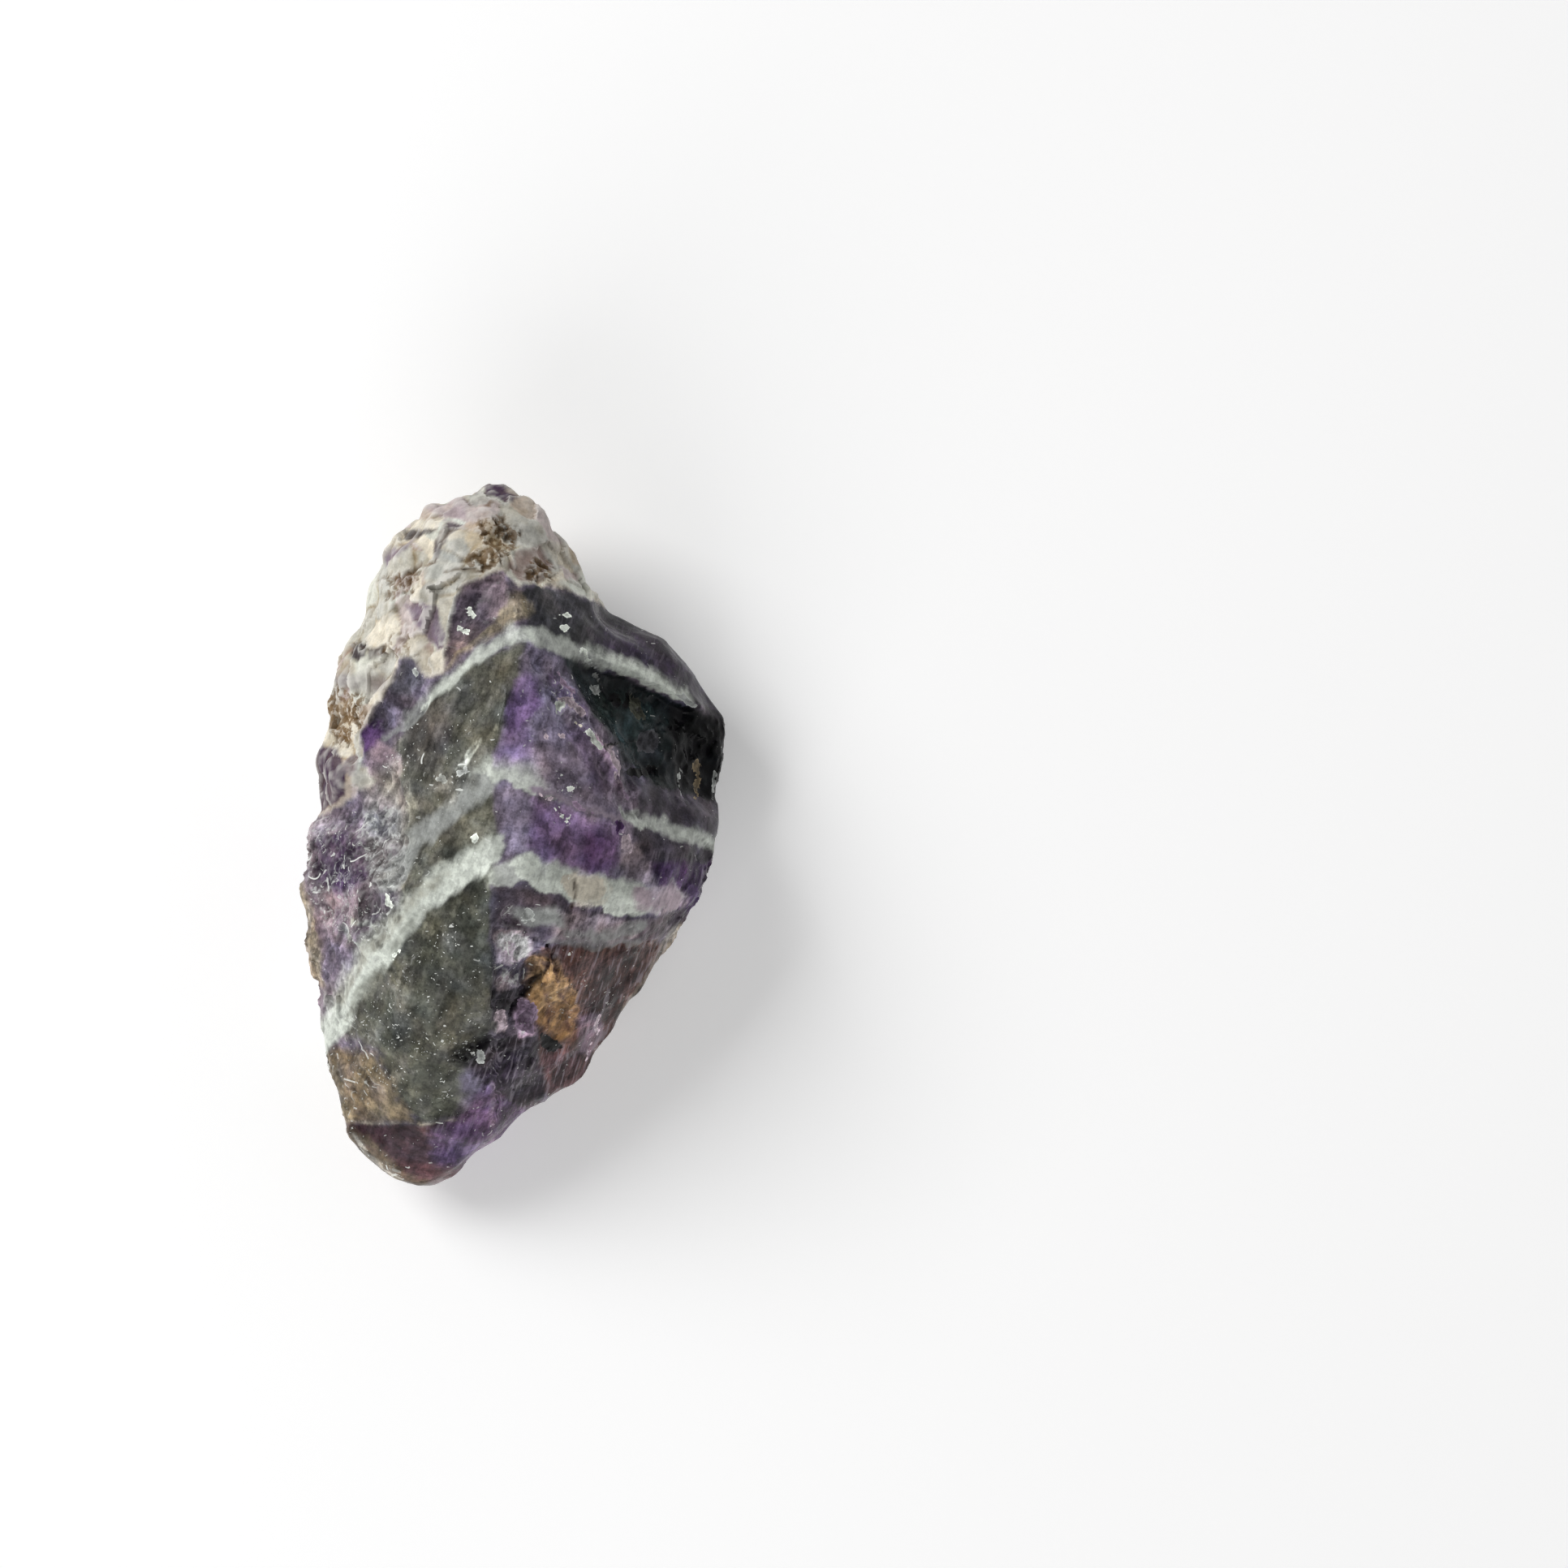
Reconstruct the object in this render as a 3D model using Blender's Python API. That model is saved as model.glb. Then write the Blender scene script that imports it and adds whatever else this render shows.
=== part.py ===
"""Chevron amethyst: one rough stone, broken out of a vein and grown as one piece.

The stone is drawn as a cage of corners: an outline with its height at each corner, the
ridges where the broken faces meet, and a few points that set the lie of each face. The cage
is closed with an underside, split into small triangles, softened between its ridges, and
then roughened: lumps and pits on the weathered rind, chips and small ledges on the breaks.
"""

import math

import bmesh
import bpy
import numpy as np
from mathutils import Vector, noise
from mathutils.geometry import delaunay_2d_cdt

MM = 0.001

# Driving sizes, in millimetres.
LENGTH = 80.0
WIDTH = 48.2
HEIGHT = 33.4
LONGEST_EDGE = 2.2
WALL_RISE = 2.1
WALL_INSET = 0.5
RIND_LUMP = 0.95
RIND_PIT = 1.6
CHIP_SIZE = 6.2
CHIP_BEND = 10.0
CHIP_TILT = 0.05
CALM = 0.4
RIM_WAVE = 2.0
FLANK_SHARE = 0.3
RIPPLE = 0.10
SOFTENING = (0.5, -0.52, 0.5, -0.52, 0.5)
FLAT_BAND = 0.02
SEED = 41

STONE_COLOUR = (0.105, 0.085, 0.105, 1.0)
STONE_ROUGHNESS = 0.42

# The outline seen from above, clockwise from the upper tip: x, y and the height of the rim.
OUTLINE = (
    # Upper tip and right shoulder of the rind.
    (-2.5, 40.0, 15.0), (0.0, 39.3, 15.2), (1.0, 38.2, 15.5), (3.2, 37.0, 15.0), (4.2, 35.7, 15.0),
    (5.5, 33.5, 14.5), (6.7, 32.2, 14.0), (8.2, 29.7, 13.6), (8.8, 28.4, 13.5), (9.7, 27.3, 13.2),
    (10.1, 26.0, 13.0), (10.3, 25.2, 12.5),
    # Dark ledge, then round the deep notch on the right.
    (12.0, 24.6, 12.0), (14.0, 23.7, 11.2), (16.5, 22.6, 10.6), (18.5, 20.5, 10.0), (20.0, 18.5, 9.4),
    (21.5, 16.0, 8.9), (23.0, 14.0, 8.4), (24.0, 12.0, 7.8), (24.1, 10.0, 7.5), (23.8, 8.0, 7.7),
    (23.5, 6.0, 8.4), (23.0, 4.0, 9.2), (22.8, 2.0, 10.0), (22.8, 0.0, 11.2), (22.9, -1.5, 12.0),
    (22.6, -3.0, 12.5), (22.2, -5.0, 12.5), (21.5, -6.8, 12.0), (20.7, -8.5, 11.5), (19.7, -10.0, 11.0),
    (18.7, -11.8, 10.5), (17.5, -13.5, 10.0), (16.2, -15.0, 10.0), (15.3, -16.0, 10.0),
    # Lower right break, down to the foot.
    (14.9, -17.5, 9.6), (14.2, -18.8, 9.2), (13.0, -19.8, 9.0), (12.0, -21.0, 8.9), (10.8, -23.3, 8.4),
    (10.0, -24.2, 8.1), (9.2, -25.5, 8.0), (8.5, -27.0, 7.6), (7.8, -28.2, 7.5), (6.8, -29.2, 7.4),
    (5.2, -30.0, 7.5), (4.0, -31.0, 7.5), (2.0, -32.0, 7.6), (0.7, -33.0, 7.6), (-0.5, -34.2, 7.6),
    (-1.5, -35.2, 7.6), (-2.7, -35.9, 7.6), (-4.2, -36.6, 7.5), (-5.0, -37.5, 7.4), (-5.7, -38.7, 7.2),
    (-7.0, -39.6, 7.0), (-9.5, -40.0, 7.0), (-12.5, -39.7, 7.0), (-14.5, -39.0, 7.2), (-16.0, -38.0, 7.4),
    (-17.5, -36.7, 7.5), (-18.9, -35.0, 7.7), (-19.5, -33.5, 7.9), (-20.0, -31.5, 8.0), (-20.3, -29.5, 8.2),
    # Left side, up past the small notch to the rind.
    (-21.0, -27.5, 8.5), (-21.6, -26.0, 8.7), (-22.1, -23.0, 9.2), (-22.3, -21.3, 9.6), (-22.4, -19.0, 10.0),
    (-22.7, -17.0, 10.6), (-23.1, -14.5, 11.1), (-23.5, -12.0, 11.6), (-23.7, -9.0, 12.0), (-24.1, -7.0, 12.0),
    (-24.0, -5.5, 11.8), (-23.5, -4.0, 11.8), (-23.2, -2.0, 12.2), (-23.3, -0.3, 12.4), (-22.7, 0.8, 12.4),
    (-21.6, 2.0, 12.0), (-21.7, 3.2, 11.8), (-22.0, 5.0, 11.6), (-22.4, 7.0, 11.6), (-22.2, 8.5, 11.7),
    (-21.7, 10.5, 12.0), (-21.3, 12.5, 12.2), (-21.1, 14.5, 12.4), (-20.6, 16.5, 12.6), (-20.4, 18.0, 12.6),
    (-19.8, 19.5, 12.9), (-19.0, 21.0, 13.1), (-18.6, 22.5, 13.2), (-17.7, 24.0, 13.4), (-17.1, 26.0, 13.6),
    (-16.3, 27.5, 13.9), (-15.2, 30.0, 14.2), (-14.5, 32.0, 14.4), (-13.3, 33.8, 14.5), (-12.2, 34.7, 14.5),
    (-11.0, 35.7, 14.4), (-10.5, 36.7, 14.5), (-9.0, 37.8, 14.8), (-7.0, 38.2, 15.0), (-5.0, 38.9, 15.0),
    (-4.0, 39.5, 15.0),
)

# Ridges of the upper side, each kept crisp.
RIDGES = (
    # The spine between the left break and the violet faces on the right.
    ((-1.0, 30.0, 26.8), (0.7, 26.5, 29.0), (1.5, 21.5, 31.0), (0.5, 17.0, 32.0), (-0.5, 13.0, 32.6),
     (-1.8, 8.0, 33.0), (-1.0, 2.5, 33.1), (-1.5, -2.0, 33.0), (-2.0, -5.0, 32.6), (-2.0, -10.0, 31.5),
     (-2.0, -18.0, 29.0), (-2.0, -22.0, 26.2), (-2.0, -28.0, 21.4), (-2.2, -33.0, 14.6)),
    # The brow above the deep notch.
    ((1.5, 21.5, 31.0), (3.3, 22.0, 29.5), (5.0, 19.8, 29.0), (6.5, 17.3, 28.5), (8.5, 14.3, 27.6),
     (10.3, 12.0, 27.0), (11.5, 9.7, 26.5), (12.6, 7.5, 26.0), (13.3, 4.5, 25.2), (14.2, 2.2, 24.5)),
    # The foot of that brow, along the floor of the notch.
    ((7.8, 18.3, 23.6), (9.6, 15.6, 22.4), (12.0, 12.4, 21.0), (13.7, 9.2, 20.2), (14.8, 6.6, 19.8)),
    # The lower edge of the dark ledge and the step below it.
    ((3.3, 22.0, 29.5), (5.2, 22.0, 27.2), (8.5, 20.2, 24.9), (11.0, 19.1, 23.0), (14.0, 17.9, 20.4),
     (18.5, 15.3, 16.4), (21.0, 14.3, 13.4)),
    ((7.8, 18.3, 23.6), (12.0, 16.7, 19.3), (18.5, 13.5, 13.0), (21.4, 12.5, 11.4)),
    # Where the rind ends over the dark ledge and over the left break.
    ((-1.0, 30.0, 26.8), (0.7, 28.6, 26.4), (3.0, 28.6, 24.6), (6.0, 27.9, 21.6), (8.4, 26.6, 18.4)),
    ((-1.0, 30.0, 26.8), (-3.0, 29.0, 27.4), (-5.5, 28.0, 27.2), (-6.5, 25.5, 27.2), (-7.7, 21.0, 27.2),
     (-8.4, 18.6, 26.8), (-11.5, 20.0, 25.0), (-13.0, 19.8, 24.0), (-13.5, 17.5, 23.2), (-15.2, 14.5, 21.8),
     (-17.2, 11.3, 20.2), (-16.6, 8.2, 20.6), (-15.8, 5.8, 21.0), (-18.0, 4.0, 18.4), (-20.3, 2.6, 16.0)),
    # The lower side of the broad pale band, a small step, left and then right.
    ((-2.0, -5.0, 32.6), (-5.0, -7.0, 30.8), (-9.0, -10.4, 28.0), (-12.6, -13.4, 25.0), (-16.4, -18.0, 20.0),
     (-19.6, -23.4, 14.0)),
    ((-2.0, -5.0, 32.6), (1.5, -6.4, 31.3), (4.0, -7.8, 30.2), (9.0, -9.6, 27.0), (13.5, -9.6, 23.0),
     (17.6, -9.2, 17.6)),
    # The brow of the lower right break.
    ((-2.0, -10.0, 31.5), (1.5, -12.0, 30.0), (4.0, -12.4, 28.4), (10.0, -12.5, 24.8), (14.0, -12.2, 20.2),
     (15.9, -12.9, 16.0)),
    # A crack down the lower right break, and a straight step on the left flank.
    ((4.0, -12.4, 28.4), (3.2, -15.0, 26.0), (1.7, -17.0, 25.8), (1.2, -18.6, 25.2), (0.0, -20.6, 24.8)),
    ((-13.3, -5.6, 25.2), (-13.0, -10.0, 25.6)),
    # The edge across the foot, and the small ridge below it.
    ((-18.4, -31.9, 11.6), (-14.0, -32.2, 15.6), (-10.0, -32.3, 17.8), (-6.0, -31.9, 18.2), (-2.0, -28.0, 21.4)),
    ((-17.4, -33.9, 10.8), (-15.8, -35.9, 11.2), (-14.0, -37.4, 10.8), (-12.0, -38.2, 10.4)),
)

# Points that set the lie of the faces between the ridges.
UPPER_POINTS = (
    # Rind: cap, right shoulder, left flank, lumps.
    (-3.5, 37.8, 20.4), (-8.0, 35.8, 20.6), (-2.0, 34.0, 24.6), (-6.5, 33.0, 24.6), (-10.8, 32.2, 21.4),
    (2.0, 34.6, 21.4), (5.2, 31.0, 19.6), (1.6, 31.0, 24.6), (7.2, 29.0, 17.6), (-4.0, 31.2, 26.0),
    (-8.8, 29.2, 24.8), (-12.6, 28.2, 22.0), (-9.6, 24.0, 25.8), (-13.4, 24.2, 21.8), (-16.0, 20.5, 19.6),
    (-16.8, 16.6, 19.2), (-18.8, 13.2, 17.6), (-19.4, 8.2, 19.2), (-19.8, 5.4, 18.6), (-18.6, 11.0, 17.6), (-13.4, 31.0, 18.8),
    # Dark three-cornered break below the rind, set a little low.
    (-4.4, 25.2, 26.4), (-5.6, 22.2, 26.6), (-2.4, 27.6, 26.8),
    # Left break, between the spine and the rind.
    (-3.0, 20.4, 29.8), (-6.2, 16.6, 28.6), (-10.6, 14.4, 25.2), (-13.6, 10.6, 22.8), (-5.8, 11.6, 30.4),
    (-10.0, 7.6, 27.2), (-13.4, 3.2, 23.6), (-5.2, 4.6, 31.2), (-9.2, 0.6, 28.0), (-12.6, -4.0, 25.4),
    (-5.0, -2.4, 31.4), (-8.6, -5.6, 29.4), (-12.4, -9.6, 26.6), (-15.6, -13.6, 22.8), (-18.6, -18.4, 18.0),
    # Left lower lump with its chips.
    (-17.0, 1.4, 20.2), (-20.6, 0.2, 17.6), (-20.4, -4.4, 17.8), (-16.6, -4.6, 22.0), (-14.6, -7.8, 23.2),
    (-17.4, -10.6, 21.4),
    (-20.8, -9.2, 16.8), (-20.8, -13.8, 15.6), (-21.0, -19.0, 13.2),
    # Violet faces right of the spine.
    (4.2, 15.6, 30.8), (4.2, 9.4, 31.5), (7.6, 10.4, 29.8), (8.8, 5.4, 29.4), (4.0, 4.0, 32.2),
    (11.4, 3.0, 27.4), (6.0, -0.6, 31.2), (10.2, -1.4, 28.8), (1.8, -2.4, 32.6), (13.6, -2.2, 26.0),
    # Dark ledge.
    (3.4, 26.0, 26.8), (8.0, 23.8, 22.8), (12.0, 21.6, 19.4), (16.4, 19.2, 15.8),
    # Floor of the notch.
    (15.6, 13.0, 17.6), (16.6, 9.8, 16.6), (19.6, 10.4, 12.8), (18.0, 6.6, 15.6), (21.4, 7.4, 11.4),
    (20.6, 4.2, 13.4), (16.2, 4.6, 20.4),
    # Right hand end of the pale band.
    (17.4, 1.8, 20.6), (20.2, 0.2, 17.4), (17.4, -3.0, 22.4), (20.4, -3.8, 17.0), (5.0, -4.8, 30.8),
    (9.8, -6.2, 28.2), (14.6, -6.2, 24.2), (18.8, -6.8, 17.8),
    # Lower right break.
    (6.6, -10.4, 28.8), (0.6, -14.8, 29.0), (5.0, -16.6, 26.6), (8.4, -16.4, 23.6), (12.6, -16.2, 16.6), (2.4, -21.0, 23.6),
    (7.6, -21.6, 17.6), (10.6, -20.6, 13.6), (0.6, -26.4, 20.0), (5.4, -26.2, 14.0), (1.4, -30.4, 12.2),
    # Broad glittering face below the pale band, left.
    (-6.0, -14.0, 29.0), (-10.2, -18.4, 26.0), (-14.4, -22.4, 21.6), (-7.0, -22.6, 25.4), (-11.2, -27.2, 20.8),
    (-5.6, -28.0, 21.4), (-15.6, -28.4, 16.2), (-18.6, -28.0, 12.4),
    # Foot.
    (-13.2, -34.2, 14.2), (-8.8, -34.4, 16.4), (-5.0, -34.0, 16.2), (-9.0, -37.4, 13.0), (-5.6, -36.6, 12.2),
    (-11.8, -36.2, 13.4),
)

# Edges of the underside. The first is the border of the flat face that the stone rests on.
FLAT_FACE = (
    (-13.0, 21.0, 0.0), (-4.0, 29.0, 0.0), (4.0, 23.0, 0.0), (11.0, 13.0, 0.0), (14.5, 1.0, 0.0),
    (10.5, -13.0, 0.0), (1.5, -25.0, 0.0), (-8.0, -34.5, 0.0), (-15.5, -26.0, 0.0), (-18.0, -9.0, 0.0),
    (-16.0, 8.0, 0.0),
)
UNDER_RIDGES = (
    ((-4.0, 29.0, 0.0), (-3.0, 33.5, 4.4), (-4.6, 36.4, 8.4)),
    ((11.0, 13.0, 0.0), (17.0, 14.5, 3.2), (20.6, 13.6, 5.0)),
    ((10.5, -13.0, 0.0), (14.2, -14.0, 4.8)),
    ((-8.0, -34.5, 0.0), (-9.6, -37.6, 2.6)),
    ((-18.0, -9.0, 0.0), (-20.8, -10.0, 4.8)),
    ((-16.0, 8.0, 0.0), (-19.0, 10.4, 5.6)),
)
UNDER_POINTS = (
    (-13.0, 29.0, 7.4), (-9.0, 28.4, 3.2), (-17.4, 19.6, 6.4), (4.8, 30.0, 6.6), (8.8, 22.6, 4.4),
    (15.4, 19.2, 5.0), (20.4, 6.4, 3.4), (18.0, 1.0, 3.0), (19.2, -6.0, 6.2), (15.2, -7.6, 3.4),
    (8.2, -21.0, 4.0), (5.0, -27.2, 4.2), (-2.6, -33.4, 3.0), (-15.4, -34.0, 3.4), (-18.8, -27.6, 4.6),
    (-19.8, -18.4, 4.6), (-20.4, -1.0, 6.4),
)

# The rind covers the stone outward of this line, upper side and flanks alike.
RIND_BORDER = (
    (60.0, 60.0), (14.0, 27.0), (10.1, 26.0), (6.0, 28.0), (3.0, 28.5), (0.7, 28.4), (-1.0, 30.0),
    (-3.0, 29.0), (-5.5, 28.0), (-6.4, 25.5), (-7.6, 21.0), (-8.2, 18.3), (-9.8, 18.0), (-11.5, 20.0),
    (-13.0, 20.0), (-13.5, 17.5), (-15.0, 15.0), (-17.0, 11.5), (-16.6, 8.0), (-15.6, 6.0), (-18.0, 4.0),
    (-21.5, 2.3), (-60.0, 2.3), (-60.0, 60.0),
)


# Broad faces that broke more evenly than the rest: violet, left, and glittering.
EVEN_FACES = (
    ((1.5, 20.0), (6.0, 15.0), (12.0, 7.0), (13.0, 1.0), (8.0, -4.0), (-1.0, -3.0), (-1.0, 8.0)),
    ((-2.0, 20.0), (-7.0, 17.0), (-12.0, 11.0), (-8.0, 1.0), (-2.0, -3.0), (-1.0, 8.0)),
    ((-3.0, -8.0), (-12.0, -14.0), (-17.0, -21.0), (-12.0, -29.0), (-3.0, -21.0)),
)


def fill(border, points, lines):
    """Triangles over the inside of a closed border, through every point and along every line."""
    corners = []
    index_of = {}

    def place(corner):
        key = (round(corner[0], 3), round(corner[1], 3))
        if key not in index_of:
            index_of[key] = len(corners)
            corners.append(corner)
        return index_of[key]

    ring = [place(corner) for corner in border]
    edges = [(ring[i - 1], ring[i]) for i in range(len(ring))]
    sharp = set()
    for line in lines:
        run = [place(corner) for corner in line]
        for a, b in zip(run, run[1:]):
            edges.append((a, b))
            sharp.add(frozenset((a, b)))
    for point in points:
        place(point)
    flat = [Vector((x, y)) for x, y, _ in corners]
    found = delaunay_2d_cdt(flat, edges, [], 1, 1e-5)
    if len(found[0]) != len(corners):
        raise ValueError("two lines of the cage cross")
    return corners, [list(face) for face in found[2]], sharp


def wall_ring(rise):
    """The outline drawn in a little and moved up or down, where the flanks begin to turn."""
    ring = []
    count = len(OUTLINE)
    for i, (x, y, z) in enumerate(OUTLINE):
        before = OUTLINE[i - 1]
        after = OUTLINE[(i + 1) % count]
        along = Vector((after[0] - before[0], after[1] - before[1])).normalized()
        inset = 0.0 if rise == 0.0 else WALL_INSET
        wave = RIM_WAVE * noise.noise(Vector((x * 0.13, y * 0.13, 4.0)))
        ring.append((x + along.y * inset, y - along.x * inset, z + wave + rise))
    return ring


def build_cage():
    """The stone as a closed cage of large triangles, its crisp edges marked."""
    cage = bmesh.new()
    upper, upper_faces, upper_sharp = fill(wall_ring(WALL_RISE), UPPER_POINTS, RIDGES)
    flat_border = FLAT_FACE + (FLAT_FACE[0],)
    under, under_faces, under_sharp = fill(
        wall_ring(-WALL_RISE), UNDER_POINTS, (flat_border,) + UNDER_RIDGES
    )
    upper_verts = [cage.verts.new(corner) for corner in upper]
    rim_verts = [cage.verts.new(corner) for corner in wall_ring(0.0)]
    under_verts = [cage.verts.new(corner) for corner in under]
    for face in upper_faces:
        cage.faces.new([upper_verts[i] for i in face])
    for face in under_faces:
        cage.faces.new([under_verts[i] for i in reversed(face)])
    count = len(OUTLINE)
    for low, high in ((rim_verts, upper_verts), (under_verts, rim_verts)):
        for i in range(count):
            j = (i + 1) % count
            cage.faces.new((low[j], low[i], high[i], high[j]))
    for verts, sharp in ((upper_verts, upper_sharp), (under_verts, under_sharp)):
        for pair in sharp:
            a, b = tuple(pair)
            edge = cage.edges.get((verts[a], verts[b]))
            if edge:
                edge.seam = True
    for i in range(count):
        cage.edges.get((rim_verts[i - 1], rim_verts[i])).smooth = False
    bmesh.ops.triangulate(cage, faces=cage.faces[:])
    bmesh.ops.recalc_face_normals(cage, faces=cage.faces[:])
    return cage


def refine(stone):
    """Splits edges until none is longer than LONGEST_EDGE."""
    while True:
        long_edges = [edge for edge in stone.edges if edge.calc_length() > LONGEST_EDGE]
        if not long_edges:
            return
        bmesh.ops.subdivide_edges(stone, edges=long_edges, cuts=1)
        bmesh.ops.triangulate(stone, faces=stone.faces[:], quad_method="SHORT_EDGE")


def soften(stone):
    """Eases points towards their neighbours and back, which rounds a cage without shrinking it.

    The ridges and the flat face are left as they are, and the rim moves only up and down.
    """
    rim = {vert for edge in stone.edges if not edge.smooth for vert in edge.verts}
    kept = {vert for edge in stone.edges if edge.seam for vert in edge.verts}
    kept |= {vert for vert in stone.verts if vert.co.z < 1e-6}
    loose = [vert for vert in stone.verts if vert not in kept]
    for share in SOFTENING:
        eased = {}
        for vert in loose:
            near = [edge.other_vert(vert).co for edge in vert.link_edges]
            place = vert.co.lerp(sum(near, Vector()) / len(near), share)
            eased[vert] = Vector((vert.co.x, vert.co.y, place.z)) if vert in rim else place
        for vert, place in eased.items():
            vert.co = place


def distance_to_border(x, y, border):
    """Distance from a point to a closed border, positive on the inside."""
    inside = False
    least = 1e9
    for (ax, ay), (bx, by) in zip(border, border[1:] + border[:1]):
        dx = bx - ax
        dy = by - ay
        along = ((x - ax) * dx + (y - ay) * dy) / (dx * dx + dy * dy)
        along = min(1.0, max(0.0, along))
        least = min(least, math.hypot(x - ax - along * dx, y - ay - along * dy))
        if (ay > y) != (by > y) and x < ax + (y - ay) * dx / dy:
            inside = not inside
    return least if inside else -least


def chip_offsets(points):
    """Each chip is a shallow bowl with its own slight tilt, and crisp ridges stand between them."""
    dice = np.random.default_rng(SEED)
    count = int(LENGTH * WIDTH * HEIGHT / CHIP_SIZE**3)
    low = np.array((-WIDTH / 2, -LENGTH / 2, 0.0))
    centres = low + dice.random((count, 3)) * np.array((WIDTH, LENGTH, HEIGHT))
    tilts = dice.normal(0.0, CHIP_TILT, (count, 3))
    away = points[:, None, :] - centres[None, :, :]
    bowls = (away**2).sum(axis=2) / (2.0 * CHIP_BEND) + (away * tilts[None, :, :]).sum(axis=2)
    depth = bowls.min(axis=1)
    return depth - depth.mean()


def rind_offset(place):
    """Rounded lumps with pits between them."""
    lumps = noise.fractal(place * 0.19, 0.9, 2.0, 3) * RIND_LUMP
    pit = max(0.0, noise.noise(place * 0.34 + Vector((7.0, 3.0, 1.0))) - 0.15)
    return lumps - pit * RIND_PIT


def calm(place):
    """How far a break keeps its chips: the broad upper faces broke more evenly than the rest."""
    if place.z < 15.0:
        return 1.0
    inside = max(distance_to_border(place.x, place.y, face) for face in EVEN_FACES)
    return 1.0 + (CALM - 1.0) * min(1.0, max(0.0, inside / 2.0 + 0.5))


def roughen(stone):
    """Moves every point in or out along its normal, but for the flat face and its border."""
    stone.normal_update()
    verts = list(stone.verts)
    points = np.array([vert.co[:] for vert in verts])
    chips = chip_offsets(points)
    moves = []
    for vert, chip in zip(verts, chips):
        place = vert.co
        rind = min(1.0, max(0.0, distance_to_border(place.x, place.y, RIND_BORDER) / 1.2))
        ripple = noise.noise(place * 0.45) * RIPPLE
        break_move = float(chip) * calm(place) + ripple
        move = rind * rind_offset(place) + (1.0 - rind) * break_move
        flank = FLANK_SHARE + (1.0 - FLANK_SHARE) * abs(vert.normal.z)
        low = min(1.0, place.z / 2.0)
        moves.append(vert.normal * move * flank * low)
    for vert, move in zip(verts, moves):
        if vert.co.z > 1e-6:
            vert.co += move
            vert.co.z = max(vert.co.z, FLAT_BAND)


def fit(stone):
    """Brings the stone to its length, width and height, its middle over the origin."""
    points = np.array([vert.co[:] for vert in stone.verts])
    low = points.min(axis=0)
    high = points.max(axis=0)
    wanted = np.array((WIDTH, LENGTH, HEIGHT))
    scale = wanted / (high - low)
    middle = np.array(((low[0] + high[0]) / 2, (low[1] + high[1]) / 2, low[2]))
    for vert, point in zip(stone.verts, points):
        vert.co = Vector((point - middle) * scale * MM)


def stone_material():
    material = bpy.data.materials.new("amethyst")
    material.use_nodes = True
    shader = material.node_tree.nodes["Principled BSDF"]
    shader.inputs["Base Color"].default_value = STONE_COLOUR
    shader.inputs["Roughness"].default_value = STONE_ROUGHNESS
    return material


def main():
    for obj in list(bpy.data.objects):
        bpy.data.objects.remove(obj, do_unlink=True)
    stone = build_cage()
    refine(stone)
    soften(stone)
    roughen(stone)
    fit(stone)
    mesh = bpy.data.meshes.new("amethyst_stone")
    stone.to_mesh(mesh)
    stone.free()
    mesh.materials.append(stone_material())
    body = bpy.data.objects.new("amethyst_stone", mesh)
    bpy.context.scene.collection.objects.link(body)


main()
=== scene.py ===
"""Chevron amethyst, a rough stone: its broken surface, its colours, and the stage it lies on."""

import math

import bpy
import numpy as np
from mathutils import Euler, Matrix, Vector


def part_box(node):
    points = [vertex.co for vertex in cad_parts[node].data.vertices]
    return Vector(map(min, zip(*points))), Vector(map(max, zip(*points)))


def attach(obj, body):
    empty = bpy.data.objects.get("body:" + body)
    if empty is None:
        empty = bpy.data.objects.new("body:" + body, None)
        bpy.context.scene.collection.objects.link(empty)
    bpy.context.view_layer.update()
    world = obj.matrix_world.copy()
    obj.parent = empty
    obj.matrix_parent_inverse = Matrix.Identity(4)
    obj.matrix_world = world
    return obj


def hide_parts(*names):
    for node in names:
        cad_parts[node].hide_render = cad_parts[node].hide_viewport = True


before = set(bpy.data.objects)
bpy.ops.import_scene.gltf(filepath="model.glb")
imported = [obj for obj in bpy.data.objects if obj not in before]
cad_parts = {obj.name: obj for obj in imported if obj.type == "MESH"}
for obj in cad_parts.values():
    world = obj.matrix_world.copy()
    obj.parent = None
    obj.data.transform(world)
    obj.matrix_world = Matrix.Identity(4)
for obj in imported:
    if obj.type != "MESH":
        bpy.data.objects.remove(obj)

bl_info = {
    "name": "Chevron amethyst",
    "version": (1, 0, 0),
    "blender": (4, 5, 0),
    "location": "3D View > Sidebar > Amethyst",
    "description": "Builds a rough chevron amethyst and a plain studio stage",
    "category": "Object",
}

NODE = "amethyst_stone"
STONE = "amethyst_body"
MM = 0.001
# How finely a vertex group's weights are told apart.
WEIGHT_LEVELS = 200
# The point that the outlines below are seen from, in millimetres, where the camera hangs too,
# and the height in the stone at which their sizes are true.
EYE = np.array((30.8, 6.0, 753.0))
TRUE_LEVEL = 13.8
# Noise is turned out of line with the axes, so that no row of its lumps shows on a flat face.
NOISE_TURN = np.array(Euler((0.6, 0.8, 0.4)).to_matrix())
# Numbers that scramble a grid cell's place into a chance value, and how far a seed shifts its pattern.
# Every pattern has a seed of its own.
CELL_STEPS = np.array((73856093, 19349663, 83492791))
CELL_MIX = 1274126177
NOISE_SALT = 51787
NOISE_SHIFT = 7.31
SHATTER_SALT = 92821
SHATTER_SHIFT = 3.17
# How far the crystal columns lean outwards on the left and right of the spine, in radians.
LEFT_LEAN = 0.40
RIGHT_LEAN = 0.28
# A full turn, for flaws that each lie their own way.
FULL_TURN = 6.283
# How far a point stands proud of its neighbours where it counts as a full crest, in millimetres.
FULL_CREST = 0.08

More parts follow.
